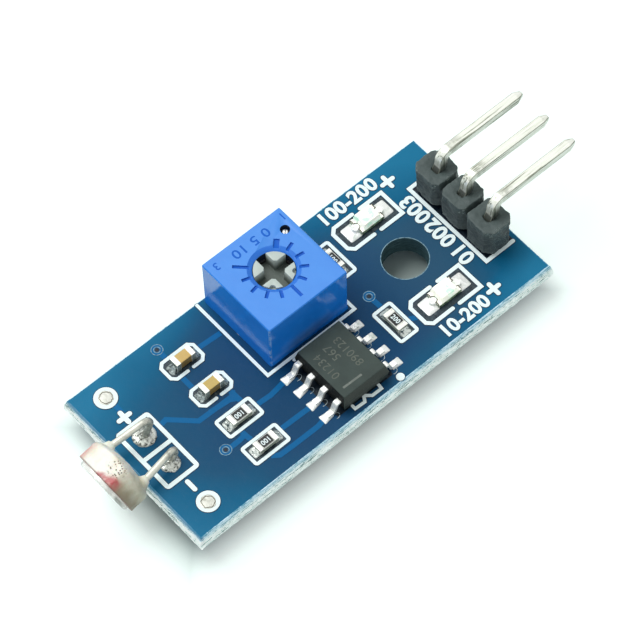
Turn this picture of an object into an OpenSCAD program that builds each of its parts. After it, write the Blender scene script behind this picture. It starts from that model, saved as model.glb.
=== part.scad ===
// Light sensor module: a photoresistor, a comparator with a threshold trimmer and a bent pin header.
// Millimetres. The origin is the middle of the mounting hole in the plane of the board's underside.
// +X runs towards the header's pins and +Z up from the component side.
// Places on the board are counted from the sensor's end and from the nearest long edge. A longer or
// wider board spreads the gaps between the parts, and each part keeps its own size.

/* [Board] */
// Length of the board's upper face, from the sensor's end to the header's end
board_l = 30.3; // [30.2:0.1:36]
// Width of the board's upper face
board_w = 13.4; // [13.3:0.1:18]
// Thickness of the laminate
board_t = 1.6; // [0.8:0.1:2.4]
// How far the snapped web stands out past both faces, along each edge
web_out = 0.2; // [0.05:0.05:0.25]
// Thickness of the snapped web
web_t = 0.5; // [0.3:0.1:0.6]
// Diameter of the mounting hole
mount_hole_d = 3.2; // [2:0.1:3.4]
// Middle of the mounting hole, from the header's end
mount_hole_from_end = 6.7; // [6.6:0.1:6.8]
// Middle of the mounting hole, from the near long edge
mount_hole_from_edge = 6.8; // [6.5:0.1:6.9]
// How far every soldered tail stands out below the board
tail_l = 1.4; // [1:0.1:2.5]
// Radial room for solder between a wire and its drilled hole
hole_room = 0.18; // [0.1:0.01:0.25]
// Width of the copper ring round a drilled hole
ring_w = 0.36; // [0.2:0.02:0.4]
// Thickness of a soldered land, which lifts a chip or a foot off the board
land_t = 0.05; // [0.03:0.01:0.1]

/* [Test pads] */
// Drilled diameter of a test pad
test_pad_hole_d = 0.9; // [0.5:0.05:1.2]
// Middle of a test pad, from the sensor's end
test_pad_from_end = 2.0; // [1.2:0.1:3]
// Middle of the far test pad, from the far long edge
far_pad_from_edge = 1.5; // [1.2:0.1:1.7]
// Middle of the near test pad, from the near long edge
near_pad_from_edge = 1.65; // [1.2:0.05:1.9]

/* [Light sensor] */
// Diameter of the ceramic disc
sensor_d = 4.85; // [4.5:0.05:6]
// Height of the disc across its two flats
sensor_flats = 4.2; // [3.6:0.1:4.4]
// Thickness of the disc
sensor_t = 1.4; // [1.2:0.1:2.5]
// Height of the clear dome over the track
sensor_coat_t = 0.35; // [0.25:0.05:0.6]
// Thickness of the light-sensitive track
sensor_track_t = 0.06; // [0.03:0.01:0.1]
// How far the front of the disc leans down
sensor_lean = 15; // [0:1:16]
// Gap between the board's end and the middle of the disc's back
sensor_gap = 0.9; // [0.85:0.05:3]
// Height of the disc's middle above the board's top face
sensor_rise = 1.12; // [0.9:0.02:2]
// Diameter of the sensor's leads
sensor_lead_d = 0.46; // [0.4:0.02:0.6]
// Distance between the two leads at the board
sensor_lead_pitch = 2.54; // [2:0.02:3]
// Distance between the two leads at the disc
sensor_lead_spread = 3.5; // [3:0.1:3.8]
// Middle of the leads' holes, from the sensor's end
sensor_lead_from_end = 2.0; // [1.6:0.1:3]
// Top of the far lead's bend above the board, along its middle
far_lead_top = 1.95; // [1.5:0.05:2.2]
// Top of the near lead's bend above the board, along its middle
near_lead_top = 1.25; // [1.25:0.05:1.8]
// Radius of the leads' bends, along their middle
sensor_lead_bend_r = 0.4; // [0.35:0.01:0.45]
// How far the far lead leans back before it bends over
far_lead_back = 20; // [5:1:25]
// How far the near lead leans back before it bends over
near_lead_back = 48; // [5:1:48]
// Height of the solder dome round a lead on the board's top face
sensor_dome_h = 0.42; // [0.2:0.02:0.5]

/* [Header] */
// Distance between pins
pin_pitch = 2.54; // [2.54:0.01:2.6]
// Side of a square pin
pin_w = 0.64; // [0.5:0.02:0.7]
// Middle of the pins' holes, from the header's end
header_from_end = 1.55; // [1.4:0.05:1.6]
// Width of the moulding
housing_w = 2.35; // [2.2:0.05:2.5]
// Height of the moulding
housing_h = 2.5; // [2:0.1:4]
// Gap between the moulding and the board
housing_lift = 0.35; // [0.2:0.05:0.6]
// Corner cut of each segment of the moulding
housing_cut = 0.5; // [0.3:0.05:0.6]
// Height of the pins' level run above the board, along their middle
pin_run_z = 4.1; // [3.9:0.05:6]
// Radius of the pins' bends, along their middle
pin_bend_r = 0.68; // [0.5:0.02:0.9]
// How far the tips stand out past the header's end
pin_reach = 6.05; // [4:0.05:9]
// Length of the tapered tip
pin_tip_l = 0.55; // [0.3:0.05:0.8]

/* [Trimmer] */
// Size of the case along the board
trimmer_l = 6.7; // [6.6:0.05:6.8]
// Size of the case across the board
trimmer_w = 6.75; // [6.6:0.05:6.8]
// Top of the case above the board
trimmer_top = 4.62; // [4.4:0.02:6]
// Height of the case's feet
trimmer_foot = 0.3; // [0.2:0.05:0.5]
// Middle of the trimmer, from the sensor's end
trimmer_from_end = 14.86; // [14.8:0.02:14.9]
// Middle of the trimmer, from the far long edge
trimmer_from_edge = 3.6; // [3.5:0.02:3.62]
// Side wall of the case
trimmer_wall = 0.5; // [0.4:0.05:0.5]
// Top wall of the case
trimmer_roof = 0.9; // [0.6:0.05:1.1]
// Diameter of the adjustment bore
rotor_bore_d = 2.9; // [2.4:0.1:3.2]
// Running clearance round the rotor and above its seal
rotor_clearance = 0.05; // [0.02:0.01:0.08]
// Depth of the rotor's face below the top of the case
rotor_sink = 0.12; // [0.05:0.01:0.3]
// Width of the cross slot
slot_w = 0.8; // [0.5:0.05:0.9]
// Depth of the cross slot
slot_depth = 1.1; // [0.6:0.05:1.1]
// Number of graduations round the bore
tick_count = 11; // [3:1:15]
// Angle covered by the graduations
tick_sweep = 270; // [180:5:300]
// Pitch of the trimmer's pins
trimmer_pin_pitch = 2.54; // [2.4:0.02:2.54]
// Diameter of the trimmer's pins
trimmer_pin_d = 0.52; // [0.4:0.02:0.56]

/* [Comparator] */
// Width of the package
package_w = 3.9; // [3.7:0.05:4]
// Length of the package
package_l = 4.9; // [4.8:0.05:5]
// Top of the package above the board
package_top = 1.6; // [1.45:0.05:1.9]
// Gap between the package and the board
package_lift = 0.15; // [0.1:0.01:0.25]
// Distance between leads
package_pitch = 1.27; // [1.2:0.01:1.27]
// Width over the feet
package_span = 6.0; // [5.9:0.05:6.2]
// Width of a lead
package_lead_w = 0.42; // [0.35:0.01:0.5]
// Thickness of a lead
package_lead_t = 0.2; // [0.15:0.01:0.25]
// Middle of the package, from the sensor's end
package_from_end = 14.75; // [14.7:0.02:14.9]
// Middle of the package, from the near long edge
package_from_edge = 3.14; // [3.1:0.02:3.2]
// Gap between the package and the trimmer's case
package_gap = 0.835; // [0.6:0.005:1.2]
// How far the leads' solder reaches past their feet
package_toe = 0.42; // [0.3:0.02:0.46]

/* [Chip parts] */
// Length of a chip resistor or capacitor
chip_l = 1.6; // [1.4:0.05:1.7]
// Width of a chip resistor or capacitor
chip_w = 0.8; // [0.7:0.05:0.9]
// Thickness of a resistor
resistor_t = 0.45; // [0.35:0.05:0.6]
// Thickness of a capacitor
capacitor_t = 0.8; // [0.6:0.05:0.9]
// Length of an end terminal
terminal_l = 0.3; // [0.2:0.02:0.4]
// Thickness of an end terminal's metal
terminal_t = 0.04; // [0.02:0.01:0.06]
// How far a chip's solder reaches past its end
chip_toe = 0.42; // [0.3:0.02:0.48]
// Middle of resistors 1 and 2, from the sensor's end
resistors_from_end = 7.51; // [6.5:0.01:8]
// Middle of resistor 1, from the near long edge
resistor_1_from_edge = 2.36; // [1.6:0.02:2.6]
// Middle of resistor 2, from the near long edge
resistor_2_from_edge = 4.98; // [4.4:0.02:5.2]
// Middle of resistor 3, which is turned across the board, from the near long edge
resistor_3_from_edge = 3.53; // [2.4:0.01:4.2]
// Middle of resistor 4, which is turned across the board, from the far long edge
resistor_4_from_edge = 3.64; // [2.4:0.02:4]
// Gap between the comparator's solder and the turned resistors
turned_gap = 1.22; // [0.9:0.02:1.4]
// Middle of capacitor 1, from the sensor's end
capacitor_1_from_end = 7.5; // [6.5:0.01:8]
// Middle of capacitor 1, from the far long edge
capacitor_1_from_edge = 2.79; // [1.6:0.01:3]
// Middle of capacitor 2, from the sensor's end
capacitor_2_from_end = 7.56; // [6.5:0.01:8]
// Middle of capacitor 2, from the far long edge
capacitor_2_from_edge = 5.58; // [4.6:0.02:5.8]

/* [Indicator lights] */
// Length of an indicator light
led_l = 2.0; // [1.8:0.05:2.2]
// Width of an indicator light
led_w = 1.25; // [1.1:0.05:1.3]
// Thickness of its base
led_base_t = 0.3; // [0.2:0.02:0.4]
// Height of its lens above the base
led_lens_h = 0.5; // [0.3:0.05:0.8]
// Length of its lens
led_lens_l = 1.5; // [1.2:0.05:1.5]
// How far its solder reaches past its end
led_toe = 0.9; // [0.6:0.05:0.92]
// Gap between the turned resistors and the lights' solder
light_gap = 1.56; // [1.2:0.02:1.8]
// Middle of the lights, past the middle of the mounting hole
light_past_hole = 0.05; // [0:0.05:0.2]
// Middle of the power light, from the far long edge
power_light_from_edge = 2.73; // [2:0.01:3]
// Middle of the output light, from the near long edge
output_light_from_edge = 3.01; // [2:0.01:3.2]

/* [Hidden] */
$fn = 48;

// Cuts run past the faces that they open by this much
cut = 1;
// The origin, from the sensor's end and from the near long edge
hole_x = board_l - mount_hole_from_end;
hole_y = mount_hole_from_edge;

// The plan of the parts runs from the sensor's holes to the mounting hole. The board's length spreads
// or closes its gaps, and the board's width those on either side of the comparator and the trimmer
turned_plan_x = package_from_end + package_span / 2 + package_toe + turned_gap + chip_w / 2;
hole_plan_x = turned_plan_x + chip_w / 2 + light_gap + led_toe + led_l / 2 - light_past_hole;
spread_l = (hole_x - sensor_lead_from_end) / (hole_plan_x - sensor_lead_from_end);
edge_plan = package_from_edge - package_l / 2 + package_gap + trimmer_from_edge - trimmer_w / 2;
spread_w = (board_w - package_l - trimmer_w) / edge_plan;
function spread(x) = sensor_lead_from_end + (x - sensor_lead_from_end) * spread_l;

// Round holes and their rings
sensor_hole_r = sensor_lead_d / 2 + hole_room;
header_hole_r = pin_w * sqrt(2) / 2 + hole_room / 2;
trimmer_hole_r = trimmer_pin_d / 2 + hole_room;
test_pad_r = test_pad_hole_d / 2 + ring_w / 2;

// Sensor: the leads' holes lie either side of the board's middle line
sensor_y = board_w / 2;
sensor_near_y = sensor_y - sensor_lead_pitch / 2;
sensor_far_y = sensor_y + sensor_lead_pitch / 2;
// The leads stop this far short of the disc's front face
lead_inset = 0.2;
track_r = sensor_flats / 2 - 0.35;
fillet_l = 0.45;
fillet_r = sensor_lead_d / 2 + 0.35;

// Header: its row of pins is centred on the mounting hole
header_x = board_l - header_from_end;
header_first_y = mount_hole_from_edge - pin_pitch;
header_names = ["near", "middle", "far"];
housing_top = housing_lift + housing_h;
// Groove across the top of the moulding between two segments
groove_w = 0.36;
groove_depth = 0.3;

// Trimmer: heights above the board, from the roof down
trimmer_x = spread(trimmer_from_end);
trimmer_y = board_w - trimmer_w / 2 - (trimmer_from_edge - trimmer_w / 2) * spread_w;
roof_z = trimmer_top - trimmer_roof;
seal_r = 0.2;
flange_top = roof_z - rotor_clearance - 2 * seal_r;
flange_t = 0.6;
flange_bottom = flange_top - flange_t;
boss_r = rotor_bore_d / 2 - rotor_clearance;
flange_r = boss_r + 0.9;
rotor_room_r = flange_r + 0.25;
element_t = 0.6;
element_top = trimmer_foot + 1.35;
// The plate fills the case and always reaches past its pins by this much
element_edge = 0.05;
pins_reach = trimmer_pin_pitch + trimmer_pin_d / 2 + element_edge;
element_l = max(trimmer_l - 2 * trimmer_wall, 2 * pins_reach);
element_w = max(trimmer_w - 2 * trimmer_wall, 2 * pins_reach);
base_recess = 0.08;
track_t = 0.03;
horseshoe_r = 1.75;
wiper_t = 0.1;
wiper_gap = 0.03;
tick_w = 0.24;
tick_depth = 0.12;
rim_w = 0.34;
rim_depth = 0.22;
tick_start = rotor_bore_d / 2 + rim_w;
tick_short = 0.5;
tick_long = 0.95;

// Comparator: the leads leave the moulding at its parting plane
package_x = spread(package_from_end);
package_y = package_l / 2 + (package_from_edge - package_l / 2) * spread_w;
parting_z = (package_lift + package_top) / 2;
lead_embed = 0.5;
lead_knee = 0.38;
lead_bend_r = package_lead_t * 0.9;

// Chips: [x from the sensor's end, y from the near edge, turned across the board]
resistors = [[spread(resistors_from_end), resistor_1_from_edge, false],
             [spread(resistors_from_end), resistor_2_from_edge, false],
             [spread(turned_plan_x), resistor_3_from_edge, true],
             [spread(turned_plan_x), board_w - resistor_4_from_edge, true]];
capacitors = [[spread(capacitor_1_from_end), board_w - capacitor_1_from_edge],
              [spread(capacitor_2_from_end), board_w - capacitor_2_from_edge]];
// Indicator lights: the power light by the far edge, the output light by the near one
led_x = hole_x + light_past_hole;
led_power_y = board_w - power_light_from_edge;
led_output_y = output_light_from_edge;

// Points of an arc, given its middle, radius, first and last angle and number of steps
function arc(cx, cy, r, a0, a1, steps) =
    [for (i = [0:steps]) let (a = a0 + (a1 - a0) * i / steps) [cx + r * cos(a), cy + r * sin(a)]];

// Moves to a place on the board's top face, from the sensor's end and from the near edge
module at(x, y) {
    translate([x - hole_x, y - hole_y, board_t])
        children();
}

// Block centred on X and Y, from z0 to z1
module block(l, w, z0, z1) {
    translate([-l / 2, -w / 2, z0])
        cube([l, w, z1 - z0]);
}

// Block with its four upright edges rounded
module rounded_block(l, w, z0, z1, r) {
    translate([0, 0, z0])
        linear_extrude(z1 - z0)
            union() {
                square([l - 2 * r, w], center = true);
                square([l, w - 2 * r], center = true);
                for (sx = [-1, 1], sy = [-1, 1])
                    translate([sx * (l / 2 - r), sy * (w / 2 - r)])
                        circle(r);
            }
}

// Block whose sides lean in above and below its widest level
module drafted_block(l, w, z0, z_wide, z1, lean0, lean1) {
    intersection() {
        rotate([90, 0, 0])
            linear_extrude(w + 2 * cut, center = true)
                polygon([[-l / 2 + lean0, z0], [l / 2 - lean0, z0], [l / 2, z_wide],
                         [l / 2 - lean1, z1], [-l / 2 + lean1, z1], [-l / 2, z_wide]]);
        rotate([90, 0, 90])
            linear_extrude(l + 2 * cut, center = true)
                polygon([[-w / 2 + lean0, z0], [w / 2 - lean0, z0], [w / 2, z_wide],
                         [w / 2 - lean1, z1], [-w / 2 + lean1, z1], [-w / 2, z_wide]]);
    }
}

// Half of a scored edge's outline, from its lower to its upper face, at distance d from the middle
function scored_edge(d, t) = [[d, 0], [d + web_out, (t - web_t) / 2], [d + web_out, (t + web_t) / 2], [d, t]];

// Block snapped from a panel along grooves: each edge has two bevels and a web between them
module scored_block(l, w, t) {
    intersection() {
        rotate([90, 0, 0])
            linear_extrude(w + 2 * cut, center = true)
                polygon(concat(scored_edge(l / 2, t), [for (p = scored_edge(l / 2, t)) [-p[0], t - p[1]]]));
        rotate([90, 0, 90])
            linear_extrude(l + 2 * cut, center = true)
                polygon(concat(scored_edge(w / 2, t), [for (p = scored_edge(w / 2, t)) [-p[0], t - p[1]]]));
    }
}

// Drilled hole through the board
module drilled(r) {
    translate([0, 0, -board_t - cut])
        cylinder(r = r, h = board_t + 2 * cut);
}

// Solder that fills a drilled hole and climbs the wire below the board in a hollow cone
module through_joint(hole_r, wire_r, climb) {
    pad_r = hole_r + ring_w;
    steps = 6;
    rise = pad_r - wire_r;
    rotate_extrude()
        polygon(concat([[0, 0], [hole_r, 0], [hole_r, -board_t], [pad_r, -board_t]],
                       [for (i = [1:steps]) let (a = 90 * i / steps)
                           [wire_r + rise * (1 - sin(a)), -board_t - climb * (1 - cos(a))]],
                       [[0, -board_t - climb]]));
}

// Low solder dome on the board's top face
module solder_dome(r, h) {
    ball_r = (r * r + h * h) / (2 * h);
    intersection() {
        translate([0, 0, h - ball_r])
            sphere(ball_r, $fn = 64);
        cylinder(r = r + cut, h = h + cut);
    }
}

// Solder land under a chip's end, with the hollow toe that climbs the end face.
// The end face lies at x = end; the land runs from x = start to x = end + toe
module chip_joint(start, end, toe, w, climb) {
    steps = 5;
    rotate([90, 0, 0])
        linear_extrude(w, center = true)
            polygon(concat([[start, 0], [end + toe, 0], [end + toe, land_t]],
                           [for (i = [1:steps]) let (a = 90 * i / steps)
                               [end + toe * (1 - sin(a)), land_t + climb * (1 - cos(a))]],
                           [[end, land_t], [start, land_t]]));
}

module circuit_board() {
    color([0.10, 0.34, 0.55])
        difference() {
            translate([board_l / 2 - hole_x, board_w / 2 - hole_y, 0])
                scored_block(board_l, board_w, board_t);
            translate([0, 0, -cut])
                cylinder(d = mount_hole_d, h = board_t + 2 * cut);
            for (y = [sensor_near_y, sensor_far_y])
                at(sensor_lead_from_end, y)
                    drilled(sensor_hole_r);
            for (i = [0:2])
                at(header_x, header_first_y + i * pin_pitch)
                    drilled(header_hole_r);
            for (i = [1:3])
                trimmer_pin_place(i)
                    drilled(trimmer_hole_r);
            test_pad_places()
                drilled(test_pad_hole_d / 2);
        }
}

module test_pad_places() {
    at(test_pad_from_end, board_w - far_pad_from_edge)
        children();
    at(test_pad_from_end, near_pad_from_edge)
        children();
}

module test_pads() {
    bulge = 0.12;
    color([0.80, 0.79, 0.74])
        test_pad_places() {
            union() {
                translate([0, 0, -board_t])
                    cylinder(d = test_pad_hole_d, h = board_t);
                solder_dome(test_pad_r, bulge);
                translate([0, 0, -board_t])
                    mirror([0, 0, 1])
                        solder_dome(test_pad_r, bulge);
            }
        }
}

// Frame of the disc: the middle of its back face, +Z out of its front face, +X up
module at_disc() {
    at(-sensor_gap, sensor_y)
        translate([0, 0, sensor_rise])
            rotate([0, -90 - sensor_lean, 0])
                children();
}

module disc_outline(d, flats) {
    intersection() {
        circle(d = d);
        square([flats, d + cut], center = true);
    }
}

// One lead: a tail through the board, a leg that leans away from the disc, a bend back over it and a
// straight run that is tangent to the bend and meets the disc at its own side
module sensor_lead(side, top, back) {
    foot_y = sensor_y + side * sensor_lead_pitch / 2;
    disc_y = side * (sensor_lead_spread - sensor_lead_pitch) / 2;
    across = sensor_lead_from_end + sensor_gap;
    heading = atan2(disc_y, across);
    r = sensor_lead_d / 2;
    bend_r = sensor_lead_bend_r;
    leg_z = 2 * bend_r * sin(back);
    leg = (top - bend_r - leg_z) / cos(back);
    bend_x = bend_r * (2 * cos(back) - 1) - leg * sin(back);
    reach = norm([across, disc_y]) - bend_x;
    drop = top - bend_r - sensor_rise;
    slope = atan2(drop, reach) + asin(bend_r / norm([reach, drop]));
    run = sqrt(reach * reach + drop * drop - bend_r * bend_r);
    at(sensor_lead_from_end, foot_y)
        rotate([0, 0, 180 - heading]) {
            translate([0, 0, -board_t - tail_l])
                cylinder(r = r, h = board_t + tail_l);
            translate([-bend_r, 0, 0])
                rotate([90, 0, 0])
                    rotate_extrude(angle = back)
                        translate([bend_r, 0])
                            circle(r);
            translate([-bend_r, 0, 0])
                rotate([0, -back, 0])
                    translate([bend_r, 0, 0])
                        cylinder(r = r, h = leg);
            translate([bend_x, 0, top - bend_r])
                rotate([90, 0, 0])
                    rotate([0, 0, 90 - slope])
                        rotate_extrude(angle = 90 + slope + back)
                            translate([bend_r, 0])
                                circle(r);
            translate([bend_x, 0, top - bend_r])
                rotate([0, 90 + slope, 0])
                    translate([-bend_r, 0, 0])
                        cylinder(r = r, h = run + sensor_t - lead_inset);
        }
}

module sensor_lead_far() {
    color([0.86, 0.85, 0.80])
        sensor_lead(1, far_lead_top, far_lead_back);
}

module sensor_lead_near() {
    color([0.86, 0.85, 0.80])
        sensor_lead(-1, near_lead_top, near_lead_back);
}

// Coated ceramic disc with a fillet where each lead leaves it, and the leads' holes
module sensor_body() {
    edge = 0.22;
    color([0.92, 0.88, 0.82])
        difference() {
            at_disc() {
                intersection() {
                    linear_extrude(sensor_t)
                        disc_outline(sensor_d, sensor_flats);
                    rotate_extrude()
                        polygon(concat([[0, 0]], arc(sensor_d / 2 - edge, edge, edge, -90, 0, 4),
                                       [[sensor_d / 2, sensor_t], [0, sensor_t]]));
                }
                for (side = [-1, 1])
                    translate([0, side * sensor_lead_spread / 2, -fillet_l])
                        cylinder(r1 = sensor_lead_d / 2 + 0.05, r2 = fillet_r, h = fillet_l + edge);
            }
            sensor_lead(1, far_lead_top, far_lead_back);
            sensor_lead(-1, near_lead_top, near_lead_back);
        }
}

// Serpentine track between two electrode fields, on the disc's front face
module sensor_track() {
    rows = 5;
    pitch = 2 * track_r * 0.8 / rows;
    line_w = pitch * 0.46;
    half_run = track_r * 0.5;
    color([0.66, 0.30, 0.16])
        at_disc()
            translate([0, 0, sensor_t])
                linear_extrude(sensor_track_t)
                    intersection() {
                        disc_outline(2 * track_r, 2 * track_r);
                        union() {
                            for (i = [0:rows])
                                translate([(i - rows / 2) * pitch, 0])
                                    square([line_w, 2 * half_run + line_w], center = true);
                            for (i = [0:rows - 1])
                                translate([(i - rows / 2 + 0.5) * pitch, (i % 2 == 0 ? 1 : -1) * half_run])
                                    square([pitch + line_w, line_w], center = true);
                        }
                    }
}

// Clear coat: a flat dome with a round rim, hollowed over the track
module sensor_front_coat() {
    rim = sensor_coat_t * 0.6;
    coat_r = sensor_d / 2 - 0.35;
    color([0.93, 0.93, 0.88, 0.6])
        at_disc()
            difference() {
                translate([0, 0, sensor_t])
                    intersection() {
                        rotate_extrude()
                            polygon(concat([[0, 0], [coat_r, 0]],
                                           arc(coat_r - rim, sensor_coat_t - rim, rim, 0, 90, 4),
                                           [[0, sensor_coat_t]]));
                        linear_extrude(sensor_coat_t + cut)
                            square([sensor_flats - 0.2, sensor_d], center = true);
                    }
                translate([0, 0, sensor_t - cut])
                    cylinder(r = track_r, h = sensor_track_t + cut);
            }
}

module sensor_solder() {
    color([0.80, 0.80, 0.77])
        for (side = [-1, 1])
            difference() {
                at(sensor_lead_from_end, sensor_y + side * sensor_lead_pitch / 2) {
                    solder_dome(sensor_hole_r + ring_w, sensor_dome_h);
                    through_joint(sensor_hole_r, sensor_lead_d / 2 + 0.05, tail_l * 0.6);
                }
                if (side > 0)
                    sensor_lead(side, far_lead_top, far_lead_back);
                else
                    sensor_lead(side, near_lead_top, near_lead_back);
            }
}

// Outline of one segment of the header's moulding
module segment_outline() {
    w = housing_w / 2;
    p = pin_pitch / 2;
    c = housing_cut;
    polygon([[-w + c, -p], [w - c, -p], [w, -p + c], [w, p - c],
             [w - c, p], [-w + c, p], [-w, p - c], [-w, -p + c]]);
}

module header_housing() {
    neck_w = housing_w - 2 * housing_cut;
    color([0.19, 0.21, 0.21])
        at(header_x, header_first_y)
            difference() {
                union() {
                    for (i = [0:2])
                        translate([0, i * pin_pitch, housing_lift])
                            linear_extrude(housing_h)
                                segment_outline();
                    for (i = [0:2])
                        translate([0, i * pin_pitch, 0])
                            block(neck_w, pin_pitch * 0.3, 0, housing_lift);
                }
                for (i = [0:2])
                    translate([0, i * pin_pitch, 0])
                        block(pin_w, pin_w, -cut, housing_top + cut);
                for (i = [0:1])
                    translate([0, (i + 0.5) * pin_pitch, housing_top])
                        block(housing_w + cut, groove_w, -groove_depth, cut);
            }
}

// Square pin: a tail with a chamfered end, a bend of a quarter turn and a level run with a tapered tip
module header_pin(i) {
    p = pin_w / 2;
    run = header_from_end + pin_reach - pin_bend_r;
    tip = pin_w * 0.24;
    color([0.82, 0.82, 0.74])
        at(header_x, header_first_y + i * pin_pitch) {
            block(pin_w, pin_w, -board_t - tail_l, pin_run_z - pin_bend_r);
            translate([pin_bend_r, 0, pin_run_z - pin_bend_r])
                rotate([90, 0, 0])
                    rotate([0, 0, 90])
                        rotate_extrude(angle = 90)
                            translate([pin_bend_r, 0])
                                square(pin_w, center = true);
            translate([pin_bend_r, 0, pin_run_z])
                intersection() {
                    rotate([90, 0, 0])
                        linear_extrude(pin_w, center = true)
                            polygon([[0, -p], [run - pin_tip_l, -p], [run, -tip],
                                     [run, tip], [run - pin_tip_l, p], [0, p]]);
                    linear_extrude(pin_w, center = true)
                        polygon([[0, -p], [run - pin_tip_l, -p], [run, -tip],
                                 [run, tip], [run - pin_tip_l, p], [0, p]]);
                }
        }
}

module header_pin_near() {
    header_pin(0);
}

module header_pin_middle() {
    header_pin(1);
}

module header_pin_far() {
    header_pin(2);
}

module header_solder() {
    color([0.80, 0.80, 0.77])
        for (i = [0:2])
            at(header_x, header_first_y + i * pin_pitch)
                difference() {
                    through_joint(header_hole_r, pin_w * 0.62, tail_l * 0.65);
                    block(pin_w, pin_w, -board_t - tail_l - cut, cut);
                }
}

module at_trimmer() {
    at(trimmer_x, trimmer_y)
        children();
}

// Pins 1 and 3 lie on the trimmer's middle line, pin 2 towards the far edge
module trimmer_pin_place(i) {
    at_trimmer()
        translate(i == 2 ? [0, trimmer_pin_pitch, 0] : [(2 - i) * trimmer_pin_pitch, 0, 0])
            children();
}

// Case: rounded upright edges, stepped inside, with feet, graduations and a bevelled bore
module trimmer_housing() {
    corner = 0.12;
    foot = 0.9;
    top_edge = 0.07;
    color([0.20, 0.42, 0.88])
        at_trimmer()
            difference() {
                intersection() {
                    rounded_block(trimmer_l, trimmer_w, 0, trimmer_top, corner);
                    drafted_block(trimmer_l, trimmer_w, -cut, trimmer_top - top_edge, trimmer_top, 0, top_edge);
                }
                for (turn = [0, 90])
                    rotate([0, 0, turn])
                        block((turn == 0 ? trimmer_l : trimmer_w) + 2 * cut,
                              (turn == 0 ? trimmer_w : trimmer_l) - 2 * foot, -cut, trimmer_foot);
                block(element_l, element_w, -cut, element_top);
                translate([0, 0, element_top - cut])
                    cylinder(r = rotor_room_r, h = roof_z - element_top + cut);
                cylinder(d = rotor_bore_d, h = trimmer_top + cut);
                translate([0, 0, trimmer_top - rim_depth])
                    cylinder(d1 = rotor_bore_d, d2 = rotor_bore_d + 4 * rim_w, h = 2 * rim_depth);
                for (i = [0:tick_count - 1])
                    graduation(i);
                translate([2.5, 1.8, trimmer_top - 0.5])
                    cylinder(r = 0.34, h = cut);
            }
}

// Engraved line number i: the first and the middle one are long, the last one is wide
module graduation(i) {
    first = i == 0;
    middle = i == floor(tick_count / 2);
    last = i == tick_count - 1;
    length = first || middle ? tick_long : tick_short;
    width = last ? tick_w * 1.7 : tick_w;
    rotate([0, 0, 270 - tick_sweep / 2 + tick_sweep * i / (tick_count - 1)])
        translate([tick_start - rim_w / 2, -width / 2, trimmer_top - tick_depth])
            cube([length + rim_w / 2, width, cut]);
}

// Rotor: a boss with a cross slot and a hollow middle, on a flange that carries the wiper
module trimmer_rotor() {
    top = trimmer_top - rotor_sink;
    pit_r = 0.6;
    nick_depth = 0.3;
    color([0.83, 0.86, 0.83])
        at_trimmer()
            difference() {
                union() {
                    translate([0, 0, flange_top])
                        cylinder(r = boss_r, h = top - flange_top);
                    translate([0, 0, flange_bottom])
                        cylinder(r = flange_r, h = flange_t);
                }
                for (turn = [0, 90])
                    rotate([0, 0, turn])
                        block(2 * boss_r + cut, slot_w, top - slot_depth, top + cut);
                translate([0, 0, top - slot_depth])
                    cylinder(r1 = pit_r, r2 = pit_r + 0.1, h = slot_depth + 0.01);
                for (turn = [225, 315])
                    rotate([0, 0, turn])
                        translate([boss_r, 0, top - nick_depth])
                            cylinder(r = 0.22, h = nick_depth + cut);
            }
}

module trimmer_seal() {
    color([0.15, 0.15, 0.16])
        at_trimmer()
            translate([0, 0, flange_top + seal_r])
                rotate_extrude()
                    translate([boss_r + seal_r, 0])
                        circle(seal_r, $fn = 24);
}

// Sprung contact: a ring under the flange with one arm to the track and one to the middle
module trimmer_wiper() {
    ring_r = 1.1;
    fall = flange_bottom - wiper_t - element_top - track_t - wiper_gap;
    color([0.80, 0.70, 0.42])
        at_trimmer() {
            translate([0, 0, flange_bottom - wiper_t])
                difference() {
                    cylinder(r = ring_r, h = wiper_t);
                    translate([0, 0, -cut])
                        cylinder(r = ring_r * 0.55, h = wiper_t + 2 * cut);
                }
            wiper_arm(ring_r * 0.9, horseshoe_r, fall);
            rotate([0, 0, 180])
                wiper_arm(ring_r * 0.9, ring_r * 0.45, fall);
        }
}

// Arm from radius r0 on the ring down to radius r1 on the element
module wiper_arm(r0, r1, fall) {
    z1 = flange_bottom;
    z0 = z1 - wiper_t - fall;
    lean = r1 > r0 ? 1 : -1;
    rotate([90, 0, 0])
        linear_extrude(0.5, center = true)
            polygon([[r0, z1], [r0 + lean * 0.15, z1], [r1 + lean * 0.07, z0 + wiper_t], [r1, z0],
                     [r1 - lean * 0.07, z0 + wiper_t], [r0, z1 - wiper_t]]);
}

// Ceramic plate with a raised horseshoe track and a round collector
module trimmer_element() {
    gap_angle = 70;
    color([0.90, 0.90, 0.88])
        at_trimmer()
            difference() {
                union() {
                    block(element_l, element_w, element_top - element_t, element_top);
                    translate([0, 0, element_top]) {
                        rotate([0, 0, 90 + gap_angle / 2])
                            rotate_extrude(angle = 360 - gap_angle)
                                translate([horseshoe_r - 0.3, 0])
                                    square([0.6, track_t]);
                        cylinder(r = 0.7, h = track_t);
                    }
                }
                for (i = [1:3])
                    translate(i == 2 ? [0, trimmer_pin_pitch, 0] : [(2 - i) * trimmer_pin_pitch, 0, 0])
                        cylinder(d = trimmer_pin_d, h = trimmer_top);
            }
}

module trimmer_base() {
    color([0.12, 0.20, 0.42])
        at_trimmer()
            difference() {
                block(element_l, element_w, trimmer_foot + base_recess, element_top - element_t);
                for (i = [1:3])
                    translate(i == 2 ? [0, trimmer_pin_pitch, 0] : [(2 - i) * trimmer_pin_pitch, 0, 0])
                        cylinder(d = trimmer_pin_d, h = trimmer_top);
            }
}

module trimmer_pin(i) {
    color([0.82, 0.82, 0.76])
        trimmer_pin_place(i)
            translate([0, 0, -board_t - tail_l])
                cylinder(d = trimmer_pin_d, h = board_t + tail_l + element_top);
}

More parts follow.
